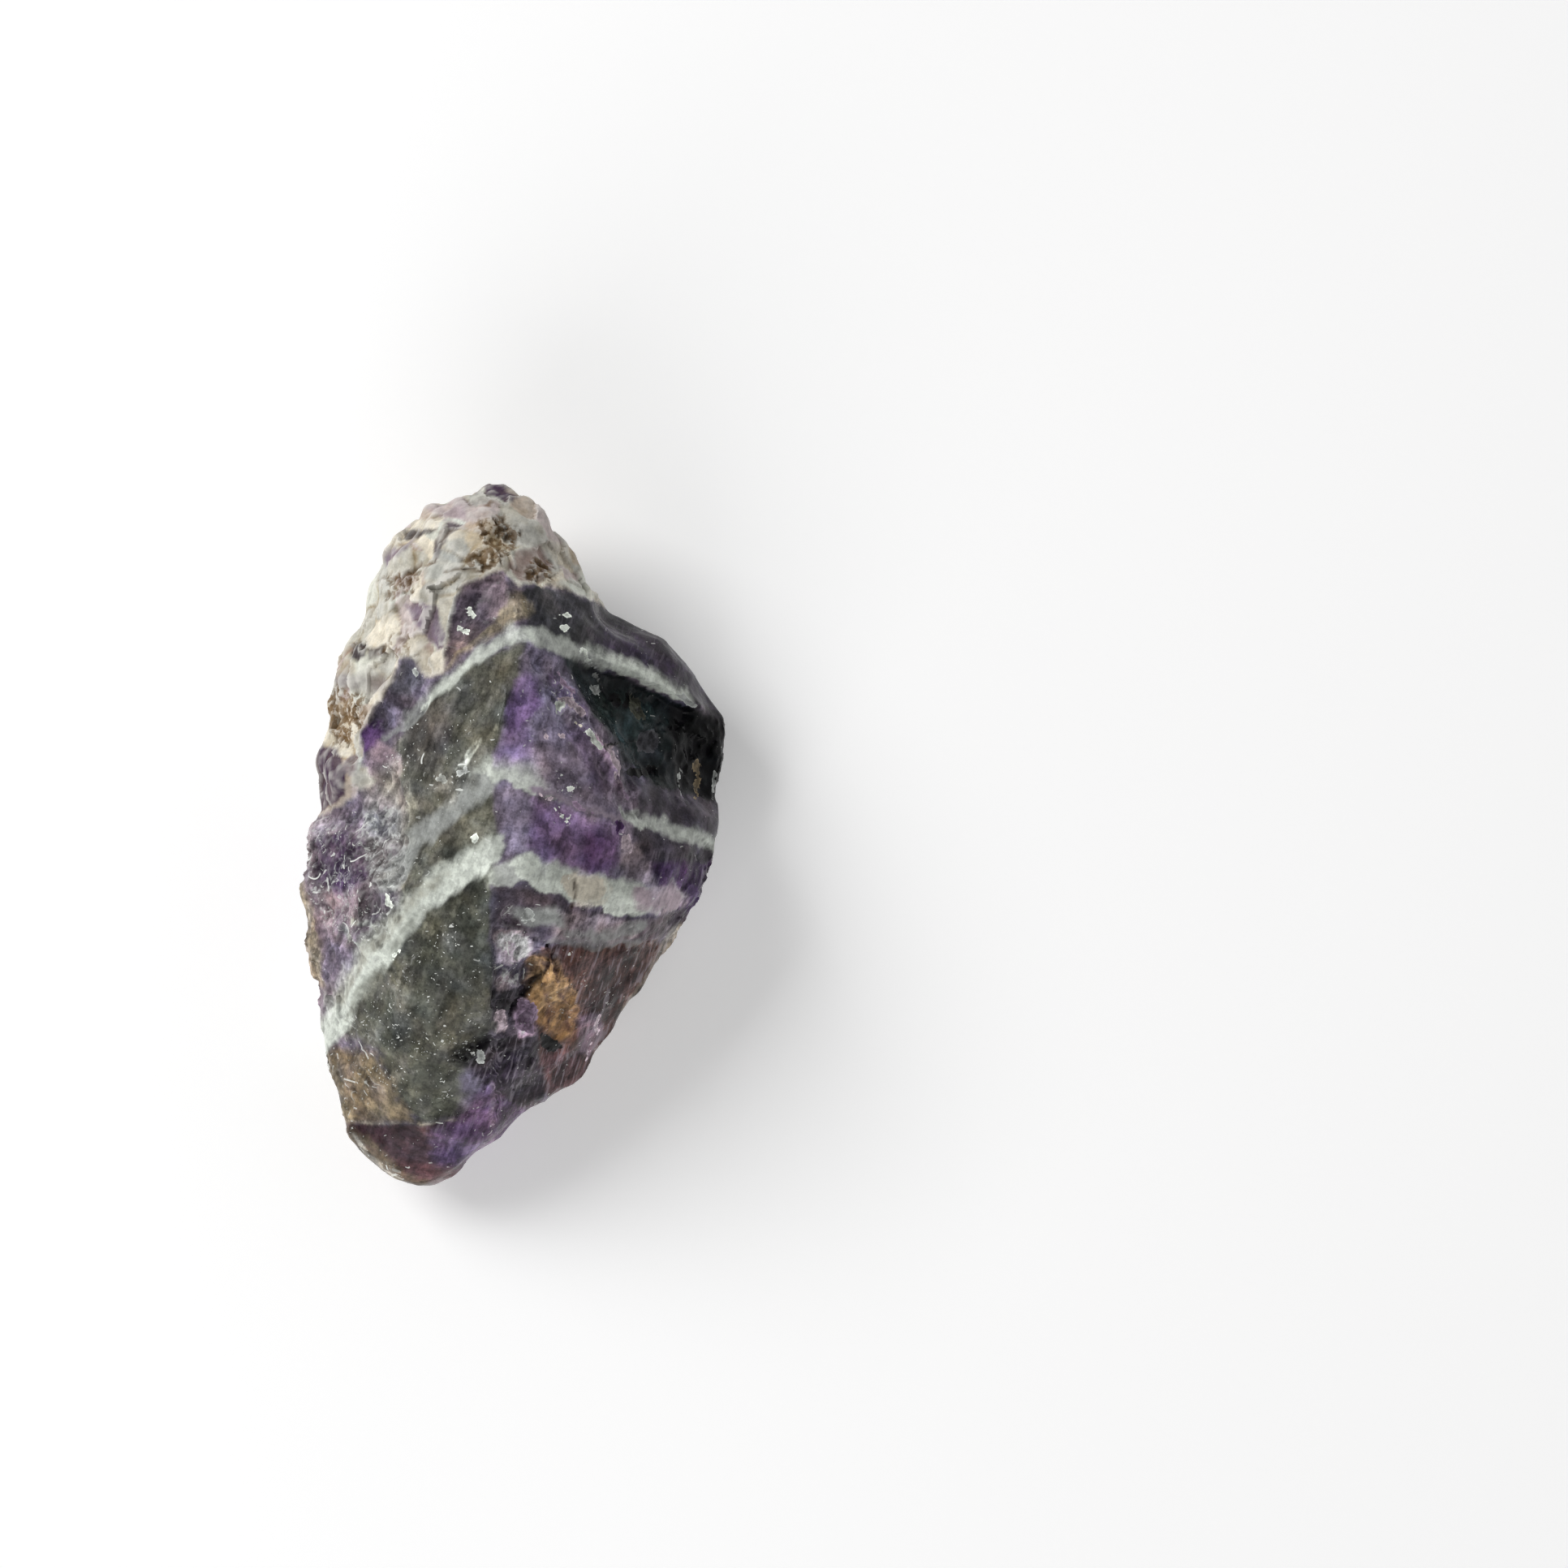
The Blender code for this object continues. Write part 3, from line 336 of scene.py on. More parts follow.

# The rind's stains, listed as the colour fields are, their lightness holding painted shade in the same way.
RIND_STAINS = (
    ("violet lump", "vivid_violet", 0.3, 1, 0.5, 0.15, (
        (-27, 3), (-21, 2.8), (-18.6, 4.4), (-18.4, 7.6), (-19.6, 10.2), (-22, 10.4), (-27, 9))),
    ("cream crystal beside it", "rose_white", 0.52, 0.9, 0.3, 0.2, (
        (-18.9, 7.4), (-18.4, 8.9), (-17.4, 9.4), (-16.6, 8.4), (-17, 7), (-18, 6.6))),
    ("grey shoulder of the cap", "mauve_grey", 1, 0.9, 0.4, 0.3, (
        (-5.1, 38.6), (-3.3, 39.6), (-3, 43), (3, 43), (2.6, 38.6), (0.4, 38), (-1.6, 38.7), (-4.2, 38.7))),
    ("purple cap", "vivid_violet", 0.3, 0.95, 0.3, 0.2, (
        (-3.2, 39.8), (-2.4, 41.4), (-1, 40), (-0.4, 39.1), (0.4, 38.4), (0, 37.7), (-0.9, 37.7),
        (-1.5, 38.2), (-1.8, 38.9), (-3.1, 39.3))),
    ("lilac face", "lilac", 0.64, 0.95, 0.5, 0.25, (
        (-12.3, 26), (-10.6, 26.3), (-8.5, 25.8), (-8.2, 24.3), (-7.4, 23), (-7.8, 20.6), (-8.8, 20.6),
        (-10.4, 23.3), (-11.4, 24.6))),
    ("cream strip by the dark break", "cream", 1.02, 0.85, 0.3, 0.3, (
        (-8.4, 27.1), (-6.2, 27.4), (-6.9, 24.4), (-7.4, 22.6), (-8.2, 24.6))),
    ("yellow cream chip", "cream", 1, 0.95, 0.25, 0.15, (
        (-11.8, 22.6), (-10.7, 22), (-9.8, 20.6), (-8.8, 19.4), (-9, 18), (-9.8, 17.4), (-10.4, 18.8),
        (-11.4, 20), (-12.2, 21.4))),
    ("grey lump over the lilac face", "frost_green", 0.83, 0.85, 0.4, 0.2, (
        (-10.5, 27.4), (-9.6, 28.3), (-8.1, 28.2), (-8, 26.8), (-8.6, 26), (-10.4, 26.1))),
    ("pale grey lump above it", "frost_green", 1.48, 0.8, 0.4, 0.2, (
        (-9.9, 30), (-9, 30.6), (-7.6, 30.4), (-7.6, 29.2), (-8.5, 28.6), (-9.9, 28.9))),
    ("pink cream block", "rose_white", 0.92, 0.75, 0.4, 0.25, (
        (-9, 37.9), (-5.4, 38.3), (-4.9, 37.2), (-5.4, 36), (-8, 36), (-10.2, 36.8))),
    ("orange blush", "mauve_brown", 2.3, 0.7, 0.7, 0.4, (
        (-10.8, 36.8), (-9.2, 36.8), (-9, 35.8), (-10.8, 35.6))),
    ("pale mass right of the vein", "grey_milk", 1.08, 0.85, 0.6, 0.3, (
        (-7.9, 31.9), (-7.4, 33), (-5.9, 33.6), (-4.4, 33.2), (-4.5, 32), (-5.9, 31), (-7.8, 31))),
    ("grey streak left of the vein", "mauve_grey", 0.3, 0.95, 0.4, 0.2, (
        (-12.5, 33.7), (-11.9, 34.5), (-9.2, 34.6), (-8.2, 34.4), (-9.6, 33.9), (-12, 33.3))),
    ("white block by the vein", "milk", 0.73, 0.85, 0.3, 0.2, (
        (-9.8, 33.9), (-8.1, 34.3), (-8.1, 33.5), (-9, 33.1), (-9.8, 33.3))),
    ("lilac vein", "mauve_violet", 0.3, 0.9, 0.3, 0.3, (
        (-7.9, 34.4), (-7.4, 35.3), (-6.4, 35.6), (-5.6, 35.4), (-6.3, 34.6), (-7.1, 33.9), (-7.4, 33),
        (-7.9, 32.4), (-8, 31.3), (-8.5, 30.7), (-9, 32), (-8.9, 32.9), (-8.1, 33.4))),
    ("pale patch at the right shoulder", "cream", 1.11, 0.9, 0.8, 0.3, (
        (4, 33.6), (6.6, 32.4), (7.4, 30.4), (5, 31))),
    ("mauve break", "mauve_brown", 2.22, 0.9, 0.5, 0.3, (
        (-0.4, 30.2), (0.6, 32.2), (3.4, 32.6), (4.6, 30.6), (3.6, 28.8), (0.8, 28.6))),
    ("purple grey streaks", "lilac", 0.66, 0.95, 0.7, 0.25, (
        (-14.6, 31.2), (-13.9, 32.3), (-12.6, 32.8), (-11.3, 33.2), (-12, 32.2), (-13.5, 31.3),
        (-14.4, 30.5))),
    ("grey green slope", "frost_green", 1.67, 0.85, 0.5, 0.25, (
        (-5.3, 38.2), (-4.2, 38.9), (-3.1, 39.2), (-1.9, 38.9), (-1.5, 37.9), (-2.8, 37.4), (-4.2, 37.1),
        (-4.8, 37.4))),
    ("lilac strip beside the dark break", "lilac", 1, 0.85, 0.5, 0.4, (
        (-1.6, 29.4), (-0.6, 29.4), (0.5, 26.2), (-0.2, 26))),
    ("pinkish hollow on the left", "rose_white", 0.38, 0.7, 0.9, 0.5, (
        (-20.5, 18.2), (-17, 18.4), (-13.9, 17.6), (-14.4, 16.2), (-19.6, 16.2))),
    ("plum on the left flank", "mauve_grey", 0.3, 1, 0.5, 0.15, (
        (-18.5, 21.2), (-17.2, 22.3), (-16.3, 21.4), (-16.2, 20.4), (-17.6, 19.8), (-18.4, 20.3))),
    ("brown beside it", "mauve_brown", 0.36, 0.95, 0.5, 0.2, (
        (-16.4, 21.2), (-14.4, 21.4), (-14.1, 20.2), (-15.8, 19.9))),
    ("orange blush on the left", "honey", 0.91, 0.45, 0.9, 0.5, (
        (-20.8, 19.6), (-18.4, 20), (-17.2, 18.4), (-20.8, 17.8))),
    ("brown hollow in the middle", "mauve_brown", 2.72, 0.75, 0.5, 0.4, (
        (-13.6, 29.2), (-11.4, 29.8), (-10.6, 28.6), (-11.7, 27.8), (-13.3, 28.3))),
    ("rust hole near the cap", "rust", 1.2, 0.9, 0.3, 0.4, (
        (-3.2, 37.2), (-2.4, 37.9), (-1.8, 37.7), (-2.4, 37))),
    ("pale green edge", "milk", 1.08, 0.75, 0.6, 0.4, (
        (5, 28.4), (8.4, 29.6), (12, 27.4), (10.4, 25.8), (7.4, 27.2))),
    ("olive rust in the upper pits", "olive_glass", 2.8, 0.8, 0.5, 0.4, (
        (-5.2, 35.4), (-2, 35.8), (-0.6, 33), (-1.6, 30.6), (-4.4, 31), (-5.4, 33))),
    ("rust, right", "rust", 0.3, 0.8, 0.5, 0.6, (
        (2.2, 30.6), (4, 30.6), (4.4, 29), (2.8, 28.4), (1.8, 29.2))),
    ("rust, middle", "rust", 1.06, 0.6, 0.7, 0.7, ((-13, 29.4), (-11, 29.4), (-11, 27.6), (-12.8, 27.4))),
    ("honey at the right edge", "honey", 1, 0.7, 0.5, 0.4, (
        (6.2, 32.6), (8, 32.2), (8.2, 30.6), (6.8, 30.6))),
    ("rust, left flank", "rust", 1.88, 0.6, 0.7, 0.6, (
        (-20.4, 15.2), (-17.4, 15), (-16.6, 13.2), (-18.6, 12.6), (-20.8, 13.2))),
    ("rust, lower left flank", "rust", 1.72, 0.7, 0.6, 0.6, (
        (-20.6, 12.2), (-18.4, 12.2), (-17.8, 10.8), (-19.6, 10.4))),
    ("rust, upper left flank", "rust", 1, 0.5, 0.6, 0.6, (
        (-21.6, 17.2), (-19.6, 16.8), (-19.4, 15.4), (-21.6, 15.4))),
)

# Veins and cracks: name, colour, strength, soft side, crisp side, then x, y and width.
LINES = (
    ("white edge over the lilac vein", "milk", 1, 0.2, 0.2, (
        (-8.1, 34.4, 0.15), (-7.9, 35.1, 0.2), (-7.3, 35.6, 0.2), (-6.5, 35.8, 0.2), (-5.5, 35.6, 0.15))),
    ("dark crack of the pink cream block", "near_black", 0.6, 0.2, 0.2, (
        (-6.7, 38.3, 0.05), (-5.7, 38.4, 0.1), (-5.2, 37.7, 0.1), (-4.7, 37.2, 0.05))),
    ("brown crease under the vein", "rust", 0.6, 0.3, 0.3, (
        (-11.4, 30, 0.1), (-10.5, 30.6, 0.15), (-9.6, 30.4, 0.1), (-8.5, 30.7, 0.1))),
    ("brown crease in the middle", "rust", 0.7, 0.25, 0.25, (
        (-13.6, 29, 0.05), (-12.6, 29.8, 0.1), (-11.4, 29.7, 0.1), (-11.7, 28.2, 0.3))),
    ("brown crease under the pits", "rust", 0.7, 0.25, 0.25, (
        (-7.4, 29.7, 0.1), (-5.9, 30, 0.15), (-3, 29.5, 0.1))),
    ("olive crease", "olive_brown", 0.85, 0.25, 0.25, (
        (-11.4, 27.2, 0.2), (-12.6, 26.3, 0.4), (-13.7, 25.1, 0.4), (-14.5, 23.9, 0.2))),
    ("white edge of the olive crease", "milk", 0.9, 0.2, 0.2, (
        (-13.6, 26.3, 0.1), (-12.6, 27.1, 0.15), (-11.4, 27.6, 0.1))),
    ("white edge of the cream crystal", "milk", 0.8, 0.2, 0.2, (
        (-17.4, 9.5, 0.1), (-16.7, 8.4, 0.15), (-17.1, 7.1, 0.1))),
    ("brown crack through the broad band", "rust", 0.85, 0.25, 0.25, (
        (6.8, -7.9, 0.25), (7, -6.6, 0.3), (7.1, -5, 0.25))),
    ("crack down the lower right break", "near_black", 0.9, 0.25, 0.25, (
        (3.9, -12.4, 0), (3.5, -14, 0), (3.3, -15, 0.1), (2.2, -16.4, 0.3), (1.8, -17.4, 0.5),
        (1.2, -18.6, 0.3), (0, -20.4, 0.2))),
    ("dark streak through the honey", "plum_brown", 0.85, 0.4, 0.3, (
        (3, -14.6, 0.1), (3.4, -17, 0.2), (4.2, -19.4, 0.1), (4.6, -22.4, 0.2))),
    ("second dark streak through the honey", "plum_brown", 0.8, 0.4, 0.3, (
        (5, -15.2, 0.1), (5.4, -18, 0.3), (6.2, -20, 0.1), (6.4, -22, 0.2))),
    ("long scratch in the left break", "milk", 0.7, 0.2, 0.2, (
        (-3.5, 11.1, 0), (-4.4, 9.5, 0.05), (-5.4, 8.3, 0.05), (-6.7, 7.6, 0))),
    ("second scratch in the left break", "milk", 0.6, 0.2, 0.2, (
        (-4.2, 10.6, 0), (-5.2, 9.2, 0.05), (-5.8, 7.2, 0.05), (-4.9, 6.9, 0))),
    ("gold edge across the foot", "cream", 0.4, 0.2, 0.2, (
        (-18.6, -32.1, 0), (-14, -32.5, 0.05), (-9.6, -32.4, 0), (-6.4, -32.2, 0))),
    ("bright ridge of the foot", "cream", 0.45, 0.2, 0.2, (
        (-17.8, -33.7, 0.1), (-16, -36, 0.2), (-14, -37.7, 0.1), (-12.5, -38.5, 0.05))),
    ("bright line up the spine's foot", "lilac", 0.6, 0.3, 0.3, (
        (-2, -28, 0.2), (-2.1, -32, 0.25), (-2.2, -35.6, 0.2))),
    ("pale edge of the left flank chip", "milk", 0.9, 0.3, 0.3, (
        (-19.2, -10.4, 0.25), (-18.6, -12, 0.3), (-17.2, -12.7, 0.3), (-15.8, -12, 0.3),
        (-15.4, -10.6, 0.25), (-16.4, -9.7, 0.25), (-18.2, -9.6, 0.2))),
    ("grey wedge in the broad band", "smoke_green", 0.8, 0.6, 0.6, (
        (-18.4, -20.4, 0.3), (-17, -18.2, 0.9), (-15.4, -16.2, 0.8), (-14.6, -15, 0.2))),
    ("olive streak along the broad band", "olive_brown", 0.55, 1, 0.8, (
        (-19.6, -18.6, 0.3), (-16.6, -13.6, 0.8), (-13.4, -9.6, 0.8), (-10.6, -6.8, 0.7),
        (-7.6, -4.4, 0.2))),
    ("olive hollow in the broad band", "smoke_green", 0.5, 0.8, 0.8, (
        (-13.6, -12.6, 0.3), (-11.6, -10.2, 0.6), (-9.6, -8.4, 0.2))),
    ("cream block in the broad band", "cream", 0.75, 0.4, 0.4, ((7.6, -6.2, 3), (9.2, -6.4, 3.2))),
    ("pink end of the broad band", "rose_white", 0.8, 0.8, 0.5, (
        (14.6, -7.2, 2.4), (16.6, -7.3, 2.4), (18.6, -7.3, 1.6))),
)

# Small crisp chips and flakes, each in one even colour: name, colour, corners.
CHIPS = (
    ("white fleck in the left break", "grey_milk", (
        (-6.6, 7.3), (-6, 7.4), (-5.4, 7.6), (-5, 7.1), (-5.7, 6.9), (-6.1, 6.6))),
    ("lilac flake at the top of the brow", "lilac", (
        (5.4, 18.8), (6, 18), (7.1, 16.2), (6.6, 16), (5.5, 17.3))),
    ("lilac flake on the brow", "rose_white", (
        (5.3, 15.6), (6.6, 15.8), (8.5, 14), (8, 13.5), (6.5, 14.6), (5.4, 15))),
    ("white flake on the brow", "milk", (
        (4.9, 15.1), (6.3, 15), (6.1, 14.4), (5.5, 14.3), (5.7, 13.6), (5.2, 13.4), (5.1, 14.3))),
    ("long white flake on the brow", "milk", (
        (8.2, 12), (9, 12.1), (10.4, 10), (10.1, 9.5), (9.2, 10.4), (8.4, 11.3))),
    ("small flake on the brow", "cream", ((7.2, 13), (7.6, 12.8), (8.2, 12), (7.7, 12.1))),
    ("pink lilac flake", "rose_white", (
        (10.5, 10.9), (11.5, 10), (12.4, 8.4), (12.5, 7.3), (12.1, 7.1), (11.2, 8.9), (10.6, 9.9))),
    ("tip of the pink lilac flake", "rose_white", ((12, 7.7), (12.5, 7.5), (12.4, 6.9), (12.1, 6.9))),
    ("lower chips of the brow", "rose_white", ((11.4, 7.3), (11.8, 7), (12.3, 5.9), (11.9, 6.2))),
    ("lowest chips of the brow", "lilac", ((12.7, 5.2), (13, 5.1), (13.4, 4), (13, 4.2))),
    ("comma on the violet face", "rose_white", (
        (3.8, 11.8), (4.1, 11.7), (3.9, 11.3), (4.2, 10.8), (4, 10.7), (3.6, 11.2))),
    ("oval on the violet face", "rose_white", ((5.2, 11.6), (6.1, 11.4), (6.1, 11), (5.5, 11.1))),
    ("bright edge under the second band", "rose_white", (
        (2.8, 5), (3.9, 4.4), (5, 3.9), (4.9, 3.7), (3.8, 4.1), (2.7, 4.7))),
    ("bright edge under the second band, right", "lilac", (
        (6.7, 3.8), (8, 3.1), (9.4, 2.5), (9.3, 2.2), (7.8, 2.8), (6.6, 3.5))),
    ("sparks under the brow, left", "milk", ((4.9, 4.7), (5.3, 4.9), (5.8, 5.3), (5.4, 4.6))),
    ("sparks under the brow, middle", "milk", ((5.8, 5.6), (6.1, 5.5), (6.2, 4.4), (5.9, 4.5))),
    ("sparks under the brow, right", "milk", ((6.2, 5.4), (6.9, 5.4), (6.5, 5), (6.6, 4.2), (6.3, 4.3))),
    ("sparks under the second band", "milk", (
        (5.2, 2.1), (5.5, 2.5), (5.9, 2.1), (6.4, 2.4), (6.3, 1.9), (6, 1.5), (5.8, 1.8))),
    ("spark beside them", "milk", ((4.5, 3), (5.1, 3.3), (5.2, 3.1), (4.7, 2.8))),
    ("dark hollow under the second band", "deep_violet", (
        (11.4, 1.5), (12, 1.9), (12.1, 0.6), (11.6, -0.2), (11.5, 0.6))),
    ("pale chip", "rose_white", (
        (12.3, 0.1), (13, -0.1), (13.6, -1.1), (13.3, -1.9), (12.6, -1.7), (12.2, -0.8))),
    ("white chip on the dark ledge", "milk", ((5.5, 24.9), (6.3, 25.1), (7.2, 24.5), (6.4, 24.6))),
    ("second white chip on the dark ledge", "milk", ((5.2, 23.5), (6.2, 23.8), (6.6, 23.3), (5.8, 22.9))),
    ("pale green chip at the band's start", "milk", ((7.4, 21), (8.2, 20.8), (8.8, 19.4), (8.3, 19.5))),
    ("thin wisp over the notch", "grey_milk", (
        (7.6, 20.4), (8, 20.3), (10.2, 17.4), (10.4, 16.8), (9.8, 17.2))),
    ("round chip in the notch", "grey_milk", ((8.8, 17), (9.7, 17.1), (10, 16.2), (9.2, 16))),
    ("chips at the band's end", "grey_milk", ((17.9, 15.9), (19, 16.2), (20.8, 14.1), (19.6, 14.2))),
    ("pale streak in the notch", "olive_glass", (
        (20.1, 8.4), (20.7, 8.5), (21, 7.8), (20.9, 6.2), (20.6, 4.5), (20.3, 4.5), (20.4, 6.6))),
    ("second pale streak in the notch", "grey_milk", ((22.5, 7.1), (22.9, 7), (22.8, 4.9), (22.4, 4.8))),
    ("third pale streak in the notch", "grey_milk", ((19, 7.4), (19.2, 7.3), (19.1, 5), (18.9, 5.1))),
    ("blue white chip in the slate", "grey_milk", (
        (-11.5, 18.6), (-10.8, 18.9), (-10.2, 18.2), (-10.9, 17.8))),
    ("leaf in the notch", "ink_green", ((9, 18.2), (10.6, 17.4), (12, 16), (10.4, 16.4))),
    ("dark leaf in the notch", "near_black", (
        (11.2, 16.7), (12, 16), (12.3, 14.6), (11.6, 14.8), (11, 15.8))),
    ("second dark leaf in the notch", "near_black", ((12.6, 16.3), (13.3, 16.5), (13.2, 15), (12.6, 14.3))),
    ("green slab in the notch", "deep_green", (
        (13.4, 16), (14.6, 15.3), (15.2, 13.6), (14, 13.2), (13.4, 14.4))),
    ("dark gap in the notch", "near_black", ((10.4, 10), (11.6, 10.7), (11.9, 10.4), (10.7, 9.6))),
    ("lower dark gap in the notch", "near_black", ((12.9, 7.3), (15.6, 8.1), (16.4, 7.7), (14, 6.7))),
    ("grey slab in the notch", "graphite", ((14.6, 11.6), (16.6, 12), (16, 9.4), (14.2, 9.6))),
    ("white chip on the left break", "milk", ((-14.6, -6.6), (-14, -6.8), (-13.4, -8.2), (-14.6, -8))),
    ("bright chip on the glittering face", "milk", (
        (-13.6, -13.4), (-12.7, -12.8), (-12.5, -13.1), (-13.4, -13.8))),
    ("bright knot in the broad band", "milk", ((-5, -0.2), (-4.2, 0.3), (-3.9, -0.6), (-4.6, -0.9))),
    ("white knot on the left break", "frost_green", ((-8.6, 6.5), (-7.8, 7.1), (-7.4, 6.2), (-8, 5.9))),
    ("small white chips on the three-cornered break", "milk", (
        (-5.2, 25.5), (-4.7, 25.6), (-4.2, 24.6), (-4.6, 24.3), (-5, 24.9))),
    ("lower chips on the three-cornered break", "milk", (
        (-5.9, 23.8), (-4.9, 23.2), (-5.2, 22.7), (-5.8, 23.1))),
    ("grey green crystals", "grey_milk", ((0.6, -8.6), (1.4, -8), (2.4, -8.8), (1.8, -9.7), (0.8, -9.6))),
    ("pale crystal by the crack", "rose_white", (
        (-1.2, -19.8), (-0.8, -19.9), (-0.6, -21.6), (-1.2, -21.2))),
    ("lilac crystal by the crack", "lilac", (
        (1.2, -18.9), (2.6, -19.2), (3.3, -20.4), (2.6, -22.6), (1.4, -22.4), (0.1, -21.4))),
    ("pale chips under the spine", "grey_milk", ((-4.2, -24.4), (-3.6, -24), (-2.9, -25.6), (-3.8, -25.8))),
    ("white chip low on the right", "rose_white", ((9.6, -20.2), (9.9, -20.4), (9.5, -22.6), (9.2, -22.2))),
    ("second white chip low on the right", "rose_white", (
        (8.4, -24.4), (8.9, -23.4), (8.7, -25), (8.4, -25.2))),
    ("dark chip low on the right", "near_black", (
        (3.4, -22.4), (5, -22.9), (5.6, -24), (4.2, -24.6), (3.4, -23.8))),
)

# How frosted the break is: strength of scratches, of glitter and of white crust, border, corners.
FROST = (
    ("glittering face", 0.08, 1, 0.1, 1.5, (
        (-2, -5), (-9, -10.4), (-16, -18), (-18.6, -22.6), (-14, -29), (-8, -32.4), (-5.6, -27),
        (-1.6, -22), (-1.6, -9))),
    ("left end of the glittering face", 0.5, 1, 0.45, 1.5, (
        (-9, -10.6), (-16, -18), (-18.6, -22.6), (-15, -24), (-11, -16))),
    ("left break", 0.25, 0.45, 0, 1.5, (
        (0.4, 20), (-8, 16), (-14, 10), (-16.6, 4), (-13, -8), (-2, -1), (-1.4, 8))),
    ("upper left of the left break", 0.5, 0.9, 0.2, 1.5, (
        (-10, 12), (-14.6, 9), (-16, 4), (-12, 2), (-9.6, 6))),
    ("scratched middle of the left break", 1, 0.5, 0.3, 1, (
        (-6.6, 5.8), (-3.4, 10.2), (-4.2, 11), (-8.4, 8.4), (-10.6, 9), (-9, 5))),
    ("left flank", 0.9, 0.8, 0.6, 1.5, (
        (-24, 1.6), (-17, 3), (-12.4, 1), (-12.8, -9), (-17, -14), (-22, -10), (-24, -3))),
    ("crust on the left flank", 0.9, 0.7, 1, 1, (
        (-17.2, 2.6), (-13, 3.6), (-12, -3), (-13, -6.4), (-16.8, -5), (-17.4, -1))),
    ("lower left", 0.7, 0.5, 0.25, 1.5, ((-22, -17), (-17, -20), (-13, -28), (-18, -33), (-23, -30))),
    ("brow of the notch", 0.7, 0.8, 0.35, 0.8, (
        (3, 18.6), (6, 17.4), (9.6, 12.6), (12.8, 7.6), (12, 6.4), (8.6, 10.6), (5, 14.4))),
    ("violet face", 0.12, 0.35, 0, 1.5, ((0.6, 19), (6, 15), (12.6, 5), (7, 3.4), (-1, 7.6))),
    ("sparks under the brow", 1, 0.9, 0.4, 0.6, ((4.6, 6), (7.2, 5.8), (7, 3.8), (5, 3.8))),
    ("sparks under the second band", 0.7, 0.8, 0.2, 0.8, ((3.8, 3.2), (7.2, 2.6), (6.6, 0.6), (4.6, 1.4))),
    ("specks in the notch", 0.15, 0.4, 0, 1, ((7.6, 18), (16, 14.6), (17.6, 8), (11, 9.6))),
    ("specks on the dark ledge", 0.05, 0.3, 0, 1, ((2, 27), (10, 25), (18, 19), (8, 21))),
    ("specks on the three-cornered break", 0.4, 0.5, 0.3, 0.5, (
        (-5.8, 25.6), (-3.6, 25.6), (-4, 23), (-6.2, 22.4))),
    ("lower right", 0.15, 0.5, 0.1, 1.5, ((-1.6, -7), (14, -10), (14, -18), (5, -29), (-3, -27))),
    ("beside the crack", 0.6, 0.9, 0.45, 0.8, (
        (-1.8, -7.4), (3, -7.8), (2.6, -12), (1.6, -17), (-1.8, -17))),
    ("pink crystals", 0.5, 1, 1, 0.3, (
        (-1.4, -11.2), (0.3, -10.8), (1.6, -11.6), (1.4, -13.4), (0.2, -13.6), (-0.6, -14.5), (-1.5, -14))),
    ("lower pink crystals", 0.5, 1, 1, 0.3, (
        (-0.9, -15.2), (0, -15.5), (1.2, -16), (1.4, -16.9), (0.4, -17), (-0.8, -16.4))),
    ("foot", 0.25, 0.4, 0.15, 1, ((-17, -33.4), (-3, -30), (2, -31), (-8, -39.4), (-14, -38))),
    ("ridge of the foot", 0.8, 0.9, 0.4, 0.5, (
        (-18.4, -33), (-17.4, -33.2), (-12.4, -37.6), (-12, -38.8), (-13.6, -38.2), (-17.2, -35))),
    ("right flank", 0.1, 0.35, 0, 1.5, ((13.6, 4), (24, 3), (25, -8), (14, -6))),
)

# Where the crystal columns show as strong streaks: strength, border, corners.
FIBROUS = (
    ("lower right break", 1, 1.2, ((3.6, -12.4), (14.4, -12), (18, -12), (16, -18), (9, -26), (7.6, -21))),
    ("grey streaks over the foot", 1, 1, ((-5, -26), (-1, -23), (4, -23), (9, -25), (5, -31), (-1, -32))),
    ("beside the crack", 0.6, 0.8, ((-2, -9.6), (3.4, -12), (3, -16), (-1.8, -20))),
    ("under the broad band", 0.5, 1, ((4, -7.6), (19, -8), (17, -12), (6, -12.4))),
    ("dark ledge", 0.25, 1.5, ((1.6, 27.6), (17, 23), (27, 18), (18, 16), (4, 23))),
    ("right flank", 0.4, 1.5, ((14, -1), (26, -3), (22, -12), (15, -9))),
    ("foot", 0.35, 1.5, ((-10, -33), (-3, -29), (3, -31), (-6, -38))),
)

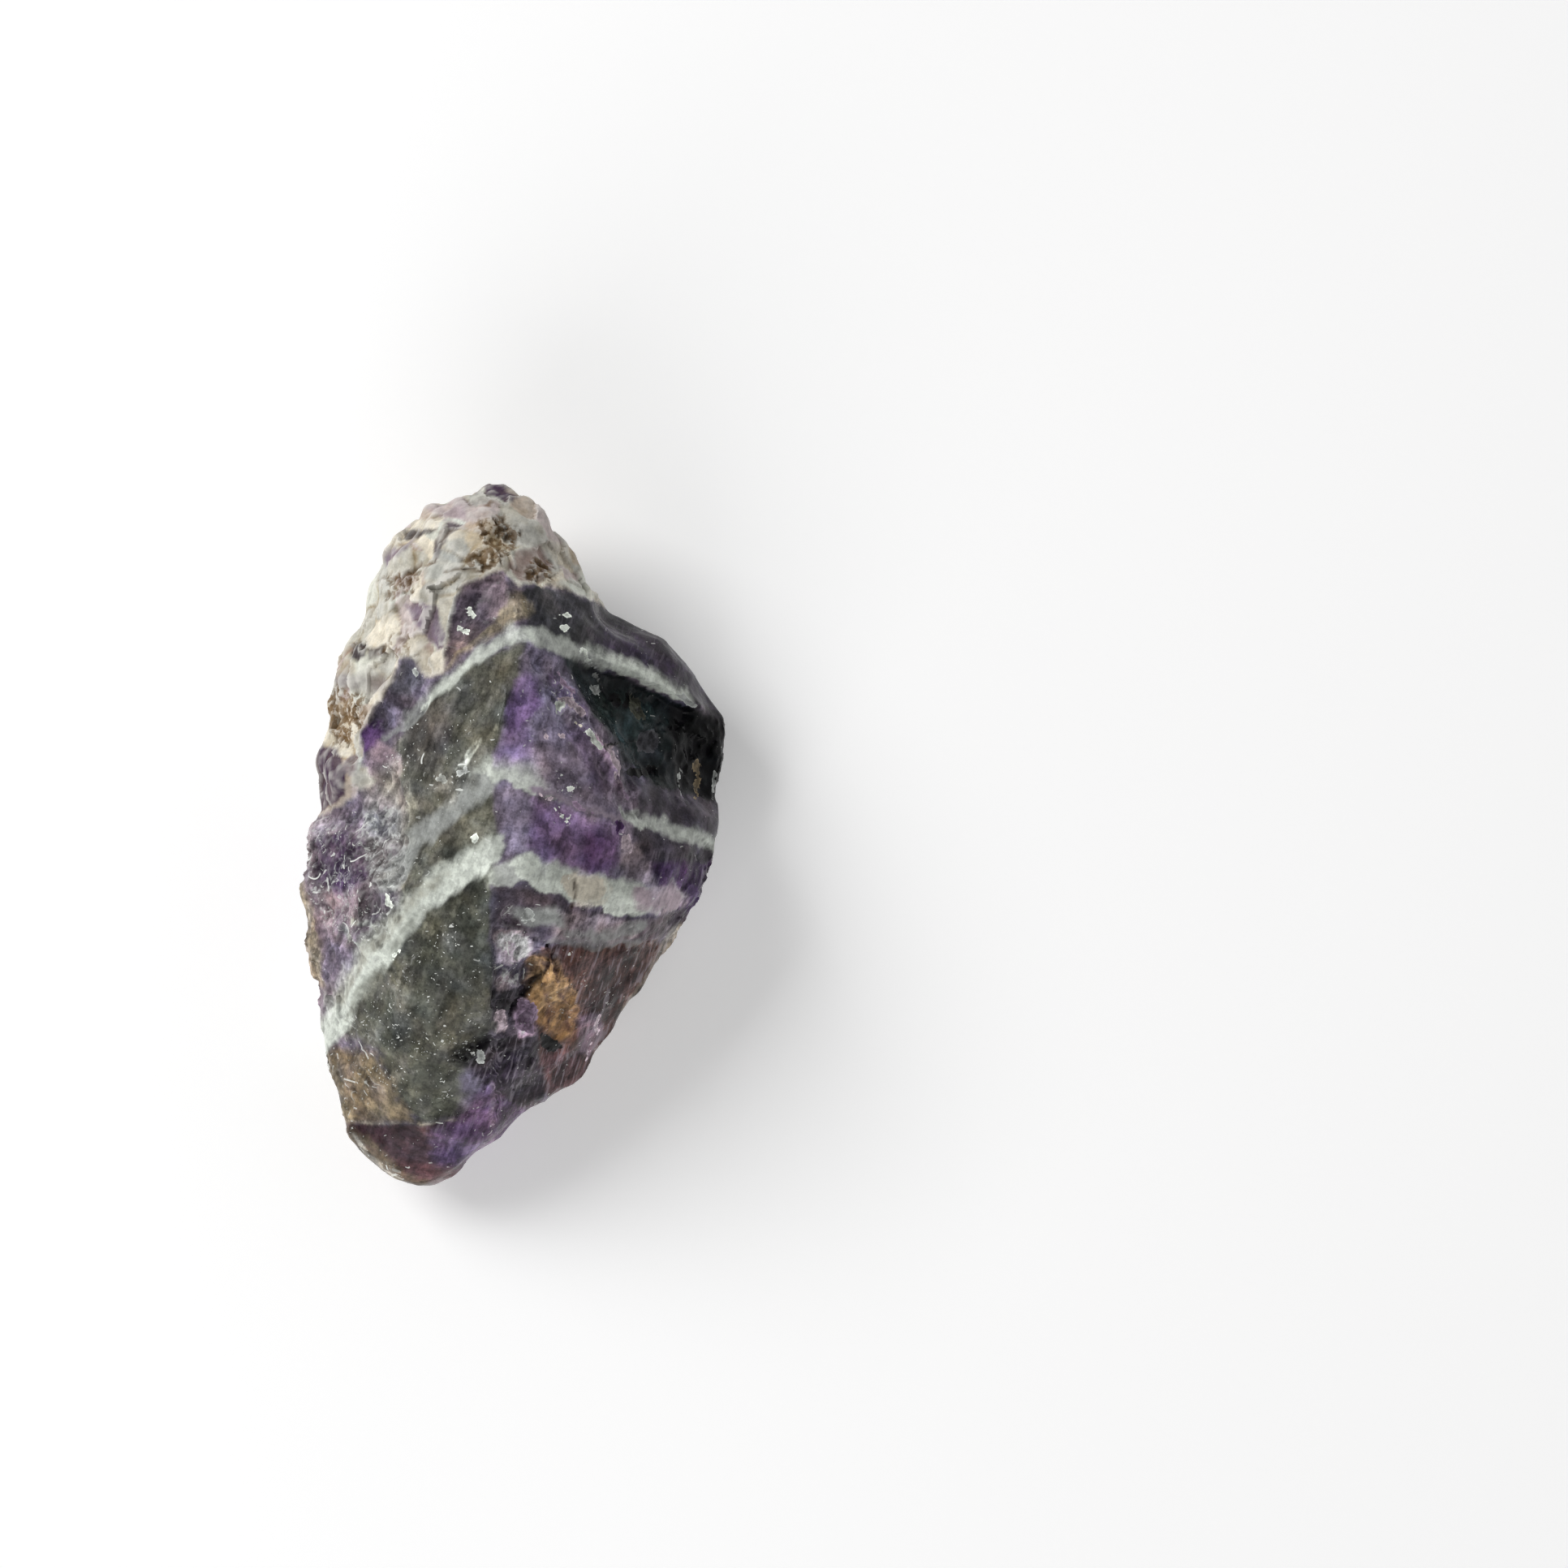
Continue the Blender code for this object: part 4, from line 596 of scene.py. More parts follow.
# Where the surface is badly chipped: strength, border, corners.
CHIPPED = (
    ("left flank", 1, 2, (
        (-26, 2), (-17, 4), (-13, 8), (-11.6, 2), (-13, -9), (-17, -15), (-21, -21), (-26, -14))),
    ("brow of the notch", 1, 1.2, (
        (2, 21), (6, 18.6), (9.6, 13.4), (13.4, 8), (14.6, 2), (12.8, 2), (9.4, 8), (5.4, 12.8),
        (2.8, 16.6))),
    ("notch", 0.85, 1.5, ((7, 19.6), (20, 13.4), (28, 12), (28, 3), (18, 4.4), (14, 8))),
    ("beside the crack", 1, 1.2, (
        (-1.8, -10.6), (3.4, -11.4), (5.4, -15), (7.6, -21), (3, -24), (-1.8, -23))),
    ("black chips", 0.9, 1, ((-7, -24), (1, -22), (3, -26), (-3, -27), (-7, -27.4))),
    ("three-cornered break", 0.5, 1, ((-6, 28), (-1, 29), (-2, 24), (-8, 19))),
    ("slate by the upper band's thin end", 0.7, 1, ((-15, 20), (-9.6, 18), (-10, 14), (-17.4, 9.6))),
    ("lower left", 0.6, 2, ((-26, -14), (-19, -18), (-15, -26), (-19, -33), (-26, -30))),
    ("under the broad band", 0.5, 1.5, ((3, -8.6), (14, -9.8), (20, -8), (17, -14), (6, -13))),
    ("right rim", 0.7, 1.5, ((20, 0), (27, 0), (27, -30), (8, -30), (14, -22), (18, -12))),
)

# Where the rind is eaten by pits: strength, border, corners.
PITS = (
    ("upper right", 0.9, 1, (
        (-4.4, 35.6), (-1, 36.2), (1, 34), (0.2, 32), (-1.6, 30.2), (-5.4, 29.8), (-5.8, 31.4),
        (-3.4, 32.6))),
    ("right of the mauve break", 0.9, 0.8, ((2, 31.2), (4.4, 31.4), (4.8, 28.6), (1.4, 28))),
    ("middle", 0.7, 1, ((-14.6, 29.6), (-10.6, 30.4), (-10.6, 27.2), (-14.4, 26.6))),
    ("left flank", 1, 1, ((-21.6, 16.4), (-16.6, 16.2), (-16.2, 12.6), (-18.4, 10), (-20.4, 10.4))),
    ("upper left", 0.6, 0.8, ((-22.6, 18), (-19.4, 17.6), (-19.4, 15.6), (-22.6, 15.6))),
    ("lower edge of the rind", 0.6, 1, ((-14, 23), (-10.6, 23.4), (-11.6, 20), (-15, 20))),
)

# Small steps in the surface. The side on the right, going along the line, lies lower.
# Each has its height, the width over which it fades away, and its line.
STEPS = (
    ("under the second band", 0.7, 4, ((2.4, 4.9), (4.5, 4), (7.5, 3), (9.5, 2.3), (12.8, 1))),
    ("under the second band, right end", 0.5, 2.5, ((12.8, 2), (17, 0.2), (21, -1.2), (24, -2.2))),
    ("upper band over the notch", 0.9, 3, ((6, 20.4), (9, 19.2), (14, 17), (18.5, 14.6), (20.6, 13.5))),
    ("brow of the notch", 0.9, 3, (
        (14.4, 1.6), (13.2, 5.6), (11.6, 8.6), (9.5, 11.8), (7, 15.4), (4.6, 18), (3, 20.6))),
    ("rind over the three-cornered break", 0.9, 2.6, (
        (-9, 17.6), (-8.2, 18.5), (-7.4, 22), (-6.4, 25.5), (-5.5, 28.2), (-3, 29), (-1, 29.8),
        (0.8, 28.4))),
    ("rind over the dark ledge", 0.7, 2.2, ((0.9, 28.3), (3, 28.6), (6.6, 27.6), (10.3, 25.8), (14, 25))),
    ("edge of the lilac vein", 0.6, 1.8, (
        (-9.6, 29.8), (-8.7, 30.8), (-8.9, 32.2), (-8.4, 33.6), (-8, 35.2), (-7, 36), (-5, 35.9))),
    ("rind over the lilac face", 0.5, 2, (
        (-13, 21.6), (-12, 23.6), (-12.6, 25.6), (-10, 26.6), (-7.8, 25.4))),
    ("purple cap", 0.5, 1.2, ((-3.4, 37.4), (-1.4, 38.2), (1.6, 37.4), (3.4, 38.6))),
    ("mauve break", 0.6, 1.6, ((0.6, 28.6), (0, 30.4), (0.8, 32.4), (3.4, 32.8), (4.8, 30.8))),
    ("rind over the left flank", 0.5, 1.8, (
        (-23, 1.8), (-21.5, 2.3), (-18, 4), (-15.6, 6.2), (-16.6, 8.4))),
    ("violet lump", 0.5, 1.2, ((-17.6, 4.6), (-18.8, 7), (-19.6, 9.6), (-22.2, 10.6))),
    ("crack", 1, 2.2, ((4.4, -12), (3.5, -15), (2, -17.2), (1.4, -18.8), (0.2, -20.6))),
    ("black chips", 0.6, 1.8, ((1.6, -22.8), (-3, -23.2), (-4.8, -24.6), (-6.4, -26.6), (-6.8, -29.6))),
    ("over the foot", 0.4, 3, ((-18.8, -32), (-14, -32.5), (-9.6, -32.4), (-6.4, -32.2))),
    ("rim of the foot", 0.5, 2, ((-11.8, -39), (-14, -37.8), (-16, -36.1), (-18.2, -33.4))),
    ("slate chip", 0.5, 2.2, ((-17.8, -8.6), (-17, -6.2), (-13.4, -5.8), (-13, -9.8))),
    ("pale-rimmed chip", 0.5, 1.6, (
        (-18.4, -9.4), (-19.4, -10.6), (-18.8, -12.2), (-17.2, -12.9), (-15.6, -12.2), (-15.2, -10.4))),
    ("honey face", 0.5, 1.8, ((6.6, -22.8), (8, -20.4), (6.8, -16.6), (4.8, -14))),
    ("under the broad band", 0.4, 2, ((1.4, -5.4), (5, -7), (9, -8.2), (12, -9.2), (16, -8.8))),
)


def tint(name, description, red, green, blue):
    """A colour setting, its default given in linear light."""
    return bpy.props.FloatVectorProperty(
        name=name, description=description, subtype="COLOR", size=3, min=0.0, max=1.0,
        default=(red, green, blue),
    )


def length(name, description, millimetres):
    """A size setting, its default given in millimetres."""
    return bpy.props.FloatProperty(
        name=name, description=description, subtype="DISTANCE", unit="LENGTH", precision=5,
        min=0.0, default=millimetres * MM,
    )


def level(name, description, default, **settings):
    """A plain number setting that can't go below nothing."""
    return bpy.props.FloatProperty(name=name, description=description, min=0.0, default=default, **settings)


def power(name, description, watts):
    """A light's strength, its default given in watts."""
    return level(name, description, watts, subtype="POWER", unit="POWER")


class StoneSizes(bpy.types.PropertyGroup):
    grain: length("Grain", "Size of the smallest face of the stone's mesh", 0.35)
    facet: length("Facet depth", "Depth of the flat-faced chips where the stone is battered", 0.55)
    swell: length("Swell", "Height of the smooth swells on the glassy faces", 0.45)
    ledge: length("Ledge height", "Height of the small steps along the growth planes", 0.16)
    column: length("Column depth", "Depth of the furrows between crystal columns", 0.18)
    step: length("Step scale", "Height of a drawn step of one unit", 1.0)
    rind_lump: length("Rind lumps", "Height of the lumps on the weathered rind", 1.0)
    rind_grain: length("Rind grain", "Height of the fine grain on the rind", 0.03)
    pit: length("Pit depth", "Depth of the pits in the rind", 0.4)
    crack: length("Crack depth", "Depth of the cracks", 0.5)


class StoneColours(bpy.types.PropertyGroup):
    milk: tint("Milk", "Milky growth bands", 0.660, 0.700, 0.630)
    grey_milk: tint("Grey milk", "Greyer, thinner growth bands", 0.342, 0.356, 0.342)
    rose_white: tint("Rose white", "Pink white crystals", 0.445, 0.361, 0.402)
    cream: tint("Cream", "Pale parts of the rind and rims", 0.600, 0.555, 0.460)
    lilac: tint("Lilac", "Palest amethyst", 0.262, 0.188, 0.266)
    mauve_violet: tint("Mauve violet", "Middle amethyst", 0.181, 0.138, 0.195)
    violet: tint("Violet", "Strong amethyst", 0.122, 0.076, 0.162)
    vivid_violet: tint("Vivid violet", "Strongest amethyst", 0.138, 0.054, 0.162)
    slate_violet: tint("Slate violet", "Smoky amethyst", 0.112, 0.095, 0.130)
    deep_violet: tint("Deep violet", "Dark amethyst", 0.048, 0.022, 0.068)
    deep_plum: tint("Deep plum", "Dark brown amethyst", 0.098, 0.045, 0.051)
    plum_brown: tint("Plum brown", "Brown smoky amethyst", 0.110, 0.054, 0.042)
    mauve_grey: tint("Mauve grey", "Greyish amethyst", 0.122, 0.093, 0.112)
    mauve_brown: tint("Mauve brown", "Brownish amethyst", 0.133, 0.089, 0.082)
    graphite: tint("Graphite", "Dark smoky quartz", 0.065, 0.065, 0.074)
    smoke_green: tint("Smoke green", "Grey green quartz", 0.133, 0.133, 0.107)
    frost_green: tint("Frost green", "Frosted grey green quartz", 0.254, 0.258, 0.235)
    deep_green: tint("Deep green", "Dark grey green quartz", 0.080, 0.082, 0.063)
    ink_green: tint("Ink green", "Nearly black green quartz", 0.010, 0.016, 0.016)
    # Near black is partly the darkest glass and partly painted shade, put in the deepest hollows, cracks and
    # gaps.
    near_black: tint("Near black", "Deepest hollows and cracks", 0.004, 0.004, 0.004)
    olive_brown: tint("Olive brown", "Brown green quartz", 0.162, 0.138, 0.093)
    olive_glass: tint("Olive glass", "Clear olive quartz", 0.195, 0.150, 0.089)
    honey: tint("Honey", "Iron-stained quartz", 0.270, 0.158, 0.066)
    rust: tint("Rust", "Iron stains in pits and cracks", 0.117, 0.058, 0.018)


class StageLights(bpy.types.PropertyGroup):
    key: power("Key light", "Strength of the main light, at the picture's upper left", 9.5)
    fill: power("Fill light", "Strength of the softer light, below the picture", 5.0)
    room: level("Room light", "Strength of the even light all round", 0.6)
    glow: level("Floor glow", "How strongly the floor glows by itself, like a light table", 0.25)
    floor: tint("Floor", "Pale surface that the stone lies on", 0.92, 0.92, 0.92)


def smooth_step(value):
    value = np.clip(value, 0.0, 1.0)
    return value * value * (3.0 - 2.0 * value)


def scrambled(cells, salt):
    """A whole number for each grid cell that looks like chance but is always the same."""
    mixed = np.bitwise_xor.reduce(cells * CELL_STEPS, axis=1) ^ salt
    return (mixed ^ mixed >> 13) * CELL_MIX & 0x7FFFFFFF


def value_noise(points, lump, seed):
    """Smooth noise from -1 to 1 at many points; lump is the size of its lumps, in the points' unit."""
    scaled = points / lump @ NOISE_TURN + seed * NOISE_SHIFT
    cell = np.floor(scaled).astype(np.int64)
    part = scaled - cell
    part = part * part * (3.0 - 2.0 * part)
    total = np.zeros(len(points))
    for corner in range(8):
        offset = np.array((corner & 1, corner >> 1 & 1, corner >> 2))
        weight = np.where(offset == 1, part, 1.0 - part).prod(axis=1)
        mixed = scrambled(cell + offset, seed * NOISE_SALT)
        total += weight * ((mixed ^ mixed >> 15) & 0xFFFF) / 32767.5
    return total - 1.0


def layered(points, *layers):
    """Noises added up. Each layer gives the size of its lumps, its share and its seed."""
    return sum(value_noise(points, lump, seed) * share for lump, share, seed in layers)


def shattered(points, size, seed):
    """Flat faces meeting in sharp edges, like broken glass. For many points: height from 0 to 1, the
    own number of the face, and how much farther the next face is."""
    bent = np.stack([value_noise(points, size * 0.8, seed + turn) for turn in range(3)], axis=1)
    scaled = (points + bent * size * 0.30) / size + seed * SHATTER_SHIFT
    cell = np.floor(scaled).astype(np.int64)
    nearest = np.full(len(points), 1e9)
    second = np.full(len(points), 1e9)
    height = np.zeros(len(points))
    number = np.zeros(len(points))
    for step in range(27):
        place = cell + np.array((step % 3 - 1, step // 3 % 3 - 1, step // 9 - 1))
        mixed = scrambled(place, seed * SHATTER_SALT)
        parts = [((mixed >> shift) & 0xFF) / 255.0 for shift in (2, 8, 14, 20, 5, 11, 17)]
        away = scaled - place - np.stack(parts[:3], axis=1)
        distance = (away * away).sum(axis=1)
        tilt = np.stack(parts[3:6], axis=1) - 0.5
        plane = (away * tilt).sum(axis=1) * 1.7 + (parts[6] - 0.5) * 0.5
        near = distance < nearest
        second = np.where(near, nearest, np.minimum(second, distance))
        nearest = np.where(near, distance, nearest)
        height = np.where(near, plane, height)
        number = np.where(near, parts[0], number)
    return np.clip(0.5 + height, 0.0, 1.0), number, np.sqrt(second) - np.sqrt(nearest)


def beside(x, y, start, end):
    """For many points: how far along one stretch they lie, and how far off it."""
    dx, dy = end[0] - start[0], end[1] - start[1]
    part = np.clip(((x - start[0]) * dx + (y - start[1]) * dy) / (dx * dx + dy * dy), 0.0, 1.0)
    return part, x - start[0] - part * dx, y - start[1] - part * dy


def to_line(x, y, line):
    """For many points: distance to the line's edge, which side they lie on, and how far along."""
    best = np.full(len(x), 1e9)
    side = np.zeros(len(x))
    along = np.zeros(len(x))
    run = 0.0
    for start, end in zip(line, line[1:]):
        dx, dy = end[0] - start[0], end[1] - start[1]
        part, off_x, off_y = beside(x, y, start, end)
        away = np.hypot(off_x, off_y) - 0.5 * (start[2] + part * (end[2] - start[2]))
        near = away < best
        best = np.where(near, away, best)
        side = np.where(near, dx * off_y - dy * off_x, side)
        along = np.where(near, run + part * math.hypot(dx, dy), along)
        run += math.hypot(dx, dy)
    return best, side, along


def inside(x, y, corners):
    """For many points: distance to a closed border, positive on its inner side."""
    least = np.full(len(x), 1e9)
    within = np.zeros(len(x), bool)
    for start, end in zip(corners, corners[1:] + corners[:1]):
        _, off_x, off_y = beside(x, y, start, end)
        least = np.minimum(least, np.hypot(off_x, off_y))
        dx, dy = end[0] - start[0], end[1] - start[1]
        if dy:
            within ^= ((start[1] > y) != (end[1] > y)) & (x < start[0] + (y - start[1]) * dx / dy)
    return np.where(within, least, -least)


class Canvas:
    """The stone's points, in millimetres, with the colours and masks laid on them."""

    def __init__(self, points, colours):
        self.points = points
        self.colours = colours
        spread = (EYE[2] - TRUE_LEVEL) / (EYE[2] - points[:, 2])
        seen = (points[:, :2] - EYE[:2]) * spread[:, None] + EYE[:2]
        # Colours hang straight down the steep flanks, so near the ground they sway to and fro.
        low = smooth_step((6.0 - points[:, 2]) / 5.0)
        sway = np.stack([value_noise(points, 9.0, seed) for seed in (3, 5)], axis=1)
        wobble = np.stack([value_noise(points, 2.2, seed) for seed in (11, 12)], axis=1)
        ripple = np.stack([value_noise(points, 0.8, seed) for seed in (13, 14)], axis=1)
        seen = seen + sway * 5.0 * low[:, None] + wobble * 0.25 + ripple * 0.15
        self.x = seen[:, 0]
        self.y = seen[:, 1]
        self.fine = layered(points, (0.9, 0.6, 21), (0.45, 0.4, 22))
        self.right = smooth_step((self.x + 1.5) / 2.5 + 0.5)
        self.colour = np.zeros((len(points), 3))
        self.veil = None
        self.chip_tint = None

    def pigment(self, name):
        return np.array(getattr(self.colours, name))

    def strands(self, across, along, seed):
        """Noise drawn out along the crystal columns, which lean outwards on both sides of the spine."""
        limbs = []
        for lean in (LEFT_LEAN, RIGHT_LEAN):
            cos, sin = math.cos(lean), math.sin(lean)
            turned = self.points @ np.array(((cos, sin, 0.0), (-sin, cos, 0.0), (0.0, 0.0, 1.0)))
            stretch = np.array((across, along, 0.5 * (across + along)))
            limbs.append(value_noise(turned / stretch, 1.0, seed))
        return limbs[0] + (limbs[1] - limbs[0]) * self.right

    def field(self, corners, border, uneven, seed):
        """1 within the corners, falling to 0 over a soft, frayed border, and thinned in patches."""
        mottle = value_noise(self.points, 2.4, seed) * 0.6 + self.fine * 0.6
        edge = inside(self.x, self.y, corners) + self.fine * border * 0.45
        mask = smooth_step(edge / border + 0.5)
        return mask * (1.0 - uneven * smooth_step(mottle + 0.35))

    def areas(self, areas, uneven, seed):
        """The strongest of several named areas at each point."""
        cover = np.zeros(len(self.points))
        for turn, (_, strength, border, corners) in enumerate(areas, seed):
            cover = np.maximum(cover, self.field(corners, border, uneven, turn) * strength)
        return cover

    def line(self, line, soft, crisp, teeth=0.0):
        """1 within the line, falling evenly to 0 over its soft and its crisp side; teeth roughen it."""
        away, side, _ = to_line(self.x, self.y + teeth, line)
        reach = np.where(side > 0.0, soft, crisp)
        return np.clip(1.0 - away / reach, 0.0, 1.0)

    def lay(self, mask, name, light=1.0):
        """Covers what is there with a colour that is slightly uneven itself."""
        # The light number carries painted shade as well as the colour's own tone.
        shade = light * (1.0 + 0.14 * self.fine)
        target = self.pigment(name) * shade[:, None]
        self.colour += (target - self.colour) * mask[:, None]

    def lay_fields(self, fields, seed, within=1.0):
        for turn, (_, name, light, strength, border, uneven, corners) in enumerate(fields, seed):
            self.lay(self.field(corners, border, uneven, turn) * strength * within, name, light)

    def hang(self, shape, name, strength):
        """Gives the veil of the pale bands its colour wherever this band reaches."""
        target = self.colour + (self.pigment(name) - self.colour) * strength
        self.veil += (target - self.veil) * smooth_step(shape * 3.0)[:, None]


def paint_rind(canvas, rind):
    """Lays the rind's blocks, soft shadows, crevices and stains, and returns its crevices."""
    canvas.lay(rind, "cream")
    _, number, gap = shattered(canvas.points, RIND_BLOCK, 67)
    block = np.floor(number * len(RIND_BLOCKS))
    for turn, (name, light, strength) in enumerate(RIND_BLOCKS):
        canvas.lay((block == turn) * strength * rind, name, light)
    shade = smooth_step(layered(canvas.points, (2.2, 1.0, 65), (0.9, 0.8, 66))) * rind
    canvas.colour *= 1.0 - shade[:, None] * RIND_SHADE
    broken_up = smooth_step(value_noise(canvas.points, 2.6, 68) * 1.8 + 0.1)
    crevice = smooth_step(1.1 - gap / 0.09) * broken_up * rind
    canvas.colour *= 1.0 - crevice[:, None] * CREVICE_SHADE
    canvas.lay_fields(RIND_STAINS, seed=400, within=rind)
    return crevice


def paint_bands(canvas, rind):
    """Hangs the pale growth bands, toothed and tufted along the columns, and returns where they are."""
    tufts = canvas.strands(0.5, 3.0, 57) * 0.6 + canvas.strands(0.25, 1.2, 56) * 0.4
    teeth = canvas.strands(0.6, 5.0, 46) * 0.40 + canvas.strands(1.7, 8.0, 45) * 0.40
    haze = layered(canvas.points, (2.0, 0.7, 49), (0.8, 0.5, 50))
    thin = smooth_step(layered(canvas.points, (2.6, 0.9, 47), (1.1, 0.5, 48)) + 0.2)
    band = np.zeros(len(canvas.points))
    for _, name, strength, soft, crisp, line in BANDS:
        reach = soft * (1.0 + 0.12 * tufts + 0.4 * haze)
        shape = canvas.line(line, reach, crisp, teeth) * (1.0 - rind) * (1.0 - 0.35 * thin)
        canvas.hang(shape, name, strength)
        band = np.maximum(band, shape)
    return band


def paint_lines(canvas, cracks):
    """Lays the veins and cracks over pigment and veil, and returns the cracks with the dark ones added."""
    for _, name, strength, soft, crisp, line in LINES:
        mask = smooth_step(canvas.line(line, soft, crisp)) * strength * np.clip(0.75 + canvas.fine, 0.15, 1.0)
        canvas.lay(mask, name)
        canvas.veil += (canvas.pigment(name) - canvas.veil) * mask[:, None]
        if name in ("near_black", "rust"):
            cracks = np.maximum(cracks, mask)
    return cracks


def deepen(canvas, glassy):
    """Gives the clear breaks their clouds, panes and streaks of depth, and warm and cool patches."""
    clouds = layered(canvas.points, (4.5, 0.40, 51), (1.7, 0.35, 52)) + canvas.fine * 0.20
    panes = shattered(canvas.points, 2.4, 53)[0] - 0.5
    drawn = canvas.strands(0.9, 5.0, 55) * 0.25 + canvas.strands(0.45, 2.6, 58) * 0.15
    depth = np.exp(clouds * 0.95 + panes * 0.85 + drawn * 1.4)
    warmth = layered(canvas.points, (3.4, 0.6, 59), (1.3, 0.4, 60))
    canvas.colour *= 1.0 + (depth[:, None] - 1.0) * glassy[:, None]
    canvas.colour *= 1.0 + (warmth * glassy)[:, None] * WARMTH
    canvas.veil *= (1.0 + (depth - 1.0) * 0.25)[:, None]


def paint_chips(canvas):
    """Colours the small chips, and returns how far inside a chip each point lies."""
    chip = np.full(len(canvas.points), -1.0)
    tints = np.zeros((len(canvas.points), 3))
    for _, name, corners in CHIPS:
        edge = inside(canvas.x, canvas.y, corners)
        nearer = edge > chip
        chip = np.where(nearer, edge, chip)
        tints[nearer] = canvas.pigment(name)
    canvas.chip_tint = tints * (1.2 + 0.3 * canvas.fine)[:, None]
    return chip


def paint(points, colours):
    """All colours and masks of the stone."""
    canvas = Canvas(points, colours)
    canvas.lay(np.ones(len(points)), "slate_violet")
    canvas.lay_fields(FIELDS, seed=100)
    rind = smooth_step(inside(canvas.x, canvas.y, RIND) / 0.7 + 0.5 + canvas.fine * 0.3)
    glassy = 1.0 - rind
    crevice = paint_rind(canvas, rind)
    canvas.veil = canvas.colour.copy()
    band = paint_bands(canvas, rind)
    cracks = paint_lines(canvas, crevice * 0.22)
    deepen(canvas, glassy)
    chip = paint_chips(canvas)
    scratches, glitter, crust = (
        canvas.areas([(name, levels[kind], border, corners) for name, *levels, border, corners in FROST],
                     uneven=0.5, seed=600)
        for kind in range(3))
    bare = 0.7 * smooth_step(value_noise(points, 3.0, 81) + 0.3)
    return canvas, {
        "chip": chip - rind,
        "glitter": np.maximum(glitter, 0.15) * glassy * (1.0 - bare),
        "crust": crust * glassy,
        "fibrous": canvas.areas(FIBROUS, uneven=0.3, seed=650) * glassy,
        "band": band,
        "rind": rind,
        "cracks": cracks,
        "frost": np.maximum(scratches, 0.05) * glassy,
        "chipped": np.maximum(canvas.areas(CHIPPED, uneven=0.4, seed=700), 0.10) * glassy,
        "porous": canvas.areas(PITS, uneven=0.3, seed=800) * rind,
    }


def stepped(canvas):
    """How far each point lies below the drawn steps, in millimetres."""
    depth = np.zeros(len(canvas.points))
    for _, height, fade, line in STEPS:
        away, side, along = to_line(canvas.x, canvas.y, [(x, y, 0.0) for x, y in line])
        ends = smooth_step(np.minimum(along, along.max() - along) / 1.5 + 0.15)
        drop = height * smooth_step(1.0 - away / fade) * ends
        depth = np.maximum(depth, np.where(side < 0.0, drop, 0.0))
    return depth


def ledges(points, lean, spacing, seed):
    """Small steps across a growth direction: each tread slopes gently and ends in a sharp riser."""
    along = points[:, 0] * math.cos(lean) + points[:, 1] * math.sin(lean) + points[:, 2] * 0.35
    waver = value_noise(points, 7.0, seed) * 1.6 + value_noise(points, 1.8, seed + 1) * 0.35
    turn = along / spacing + waver
    return turn - np.floor(turn)


def only(obj):
    """Makes obj the one selected and active object."""
    bpy.ops.object.select_all(action="DESELECT")
    obj.select_set(True)
    bpy.context.view_layer.objects.active = obj


def read(items, name, width, kind=np.float64):
    """One property of all of a mesh's items, a row for each."""
    flat = np.empty(len(items) * width, kind)
    items.foreach_get(name, flat)
    return flat.reshape(-1, width)


def points_of(obj):
    return read(obj.data.vertices, "co", 3)


def weigh(obj, name, weights):
    """A vertex group with these weights, in fine steps."""
    group = obj.vertex_groups.new(name=name)
    levels = np.rint(np.clip(weights, 0.0, 1.0) * WEIGHT_LEVELS).astype(int)
    order = np.argsort(levels, kind="stable")
    starts = np.searchsorted(levels[order], np.arange(WEIGHT_LEVELS + 2))
    for each in range(1, WEIGHT_LEVELS + 1):
        chosen = order[starts[each]:starts[each + 1]].tolist()
        if chosen:
            group.add(chosen, each / WEIGHT_LEVELS, "REPLACE")


def press(obj, group, weights, depth, texture=None, middle=0.0):
    """Moves obj's surface along its normals, by the weights and the texture, and applies it."""
    weigh(obj, group, weights)
    push = obj.modifiers.new(group, "DISPLACE")
    push.vertex_group = group
    push.strength = depth
    push.mid_level = middle
    push.texture = texture
    push.texture_coords = "LOCAL"
    only(obj)
    bpy.ops.object.modifier_apply(modifier=push.name)


def cloud_texture(name, lump, depth):
    """Blender's own cloud pattern, its lumps given in millimetres."""
    texture = bpy.data.textures.new(name, "CLOUDS")
    texture.noise_scale = lump * MM
    texture.noise_depth = depth
    return texture


def bend_of(obj):
    """How far each point stands proud of its neighbours, along its normal, in millimetres."""
    points = points_of(obj) / MM
    normals = read(obj.data.vertices, "normal", 3)
    ends = read(obj.data.edges, "vertices", 2, np.int32)
    count = np.bincount(ends.ravel(), minlength=len(points))[:, None]
    bend = np.zeros(len(points))
    middle = points
    for _ in range(3):
        total = np.zeros_like(points)
        for axis in range(3):
            total[:, axis] += np.bincount(ends[:, 0], middle[ends[:, 1], axis], len(points))
            total[:, axis] += np.bincount(ends[:, 1], middle[ends[:, 0], axis], len(points))
        middle = total / count
        bend += ((points - middle) * normals).sum(axis=1)
    return bend / 3.0


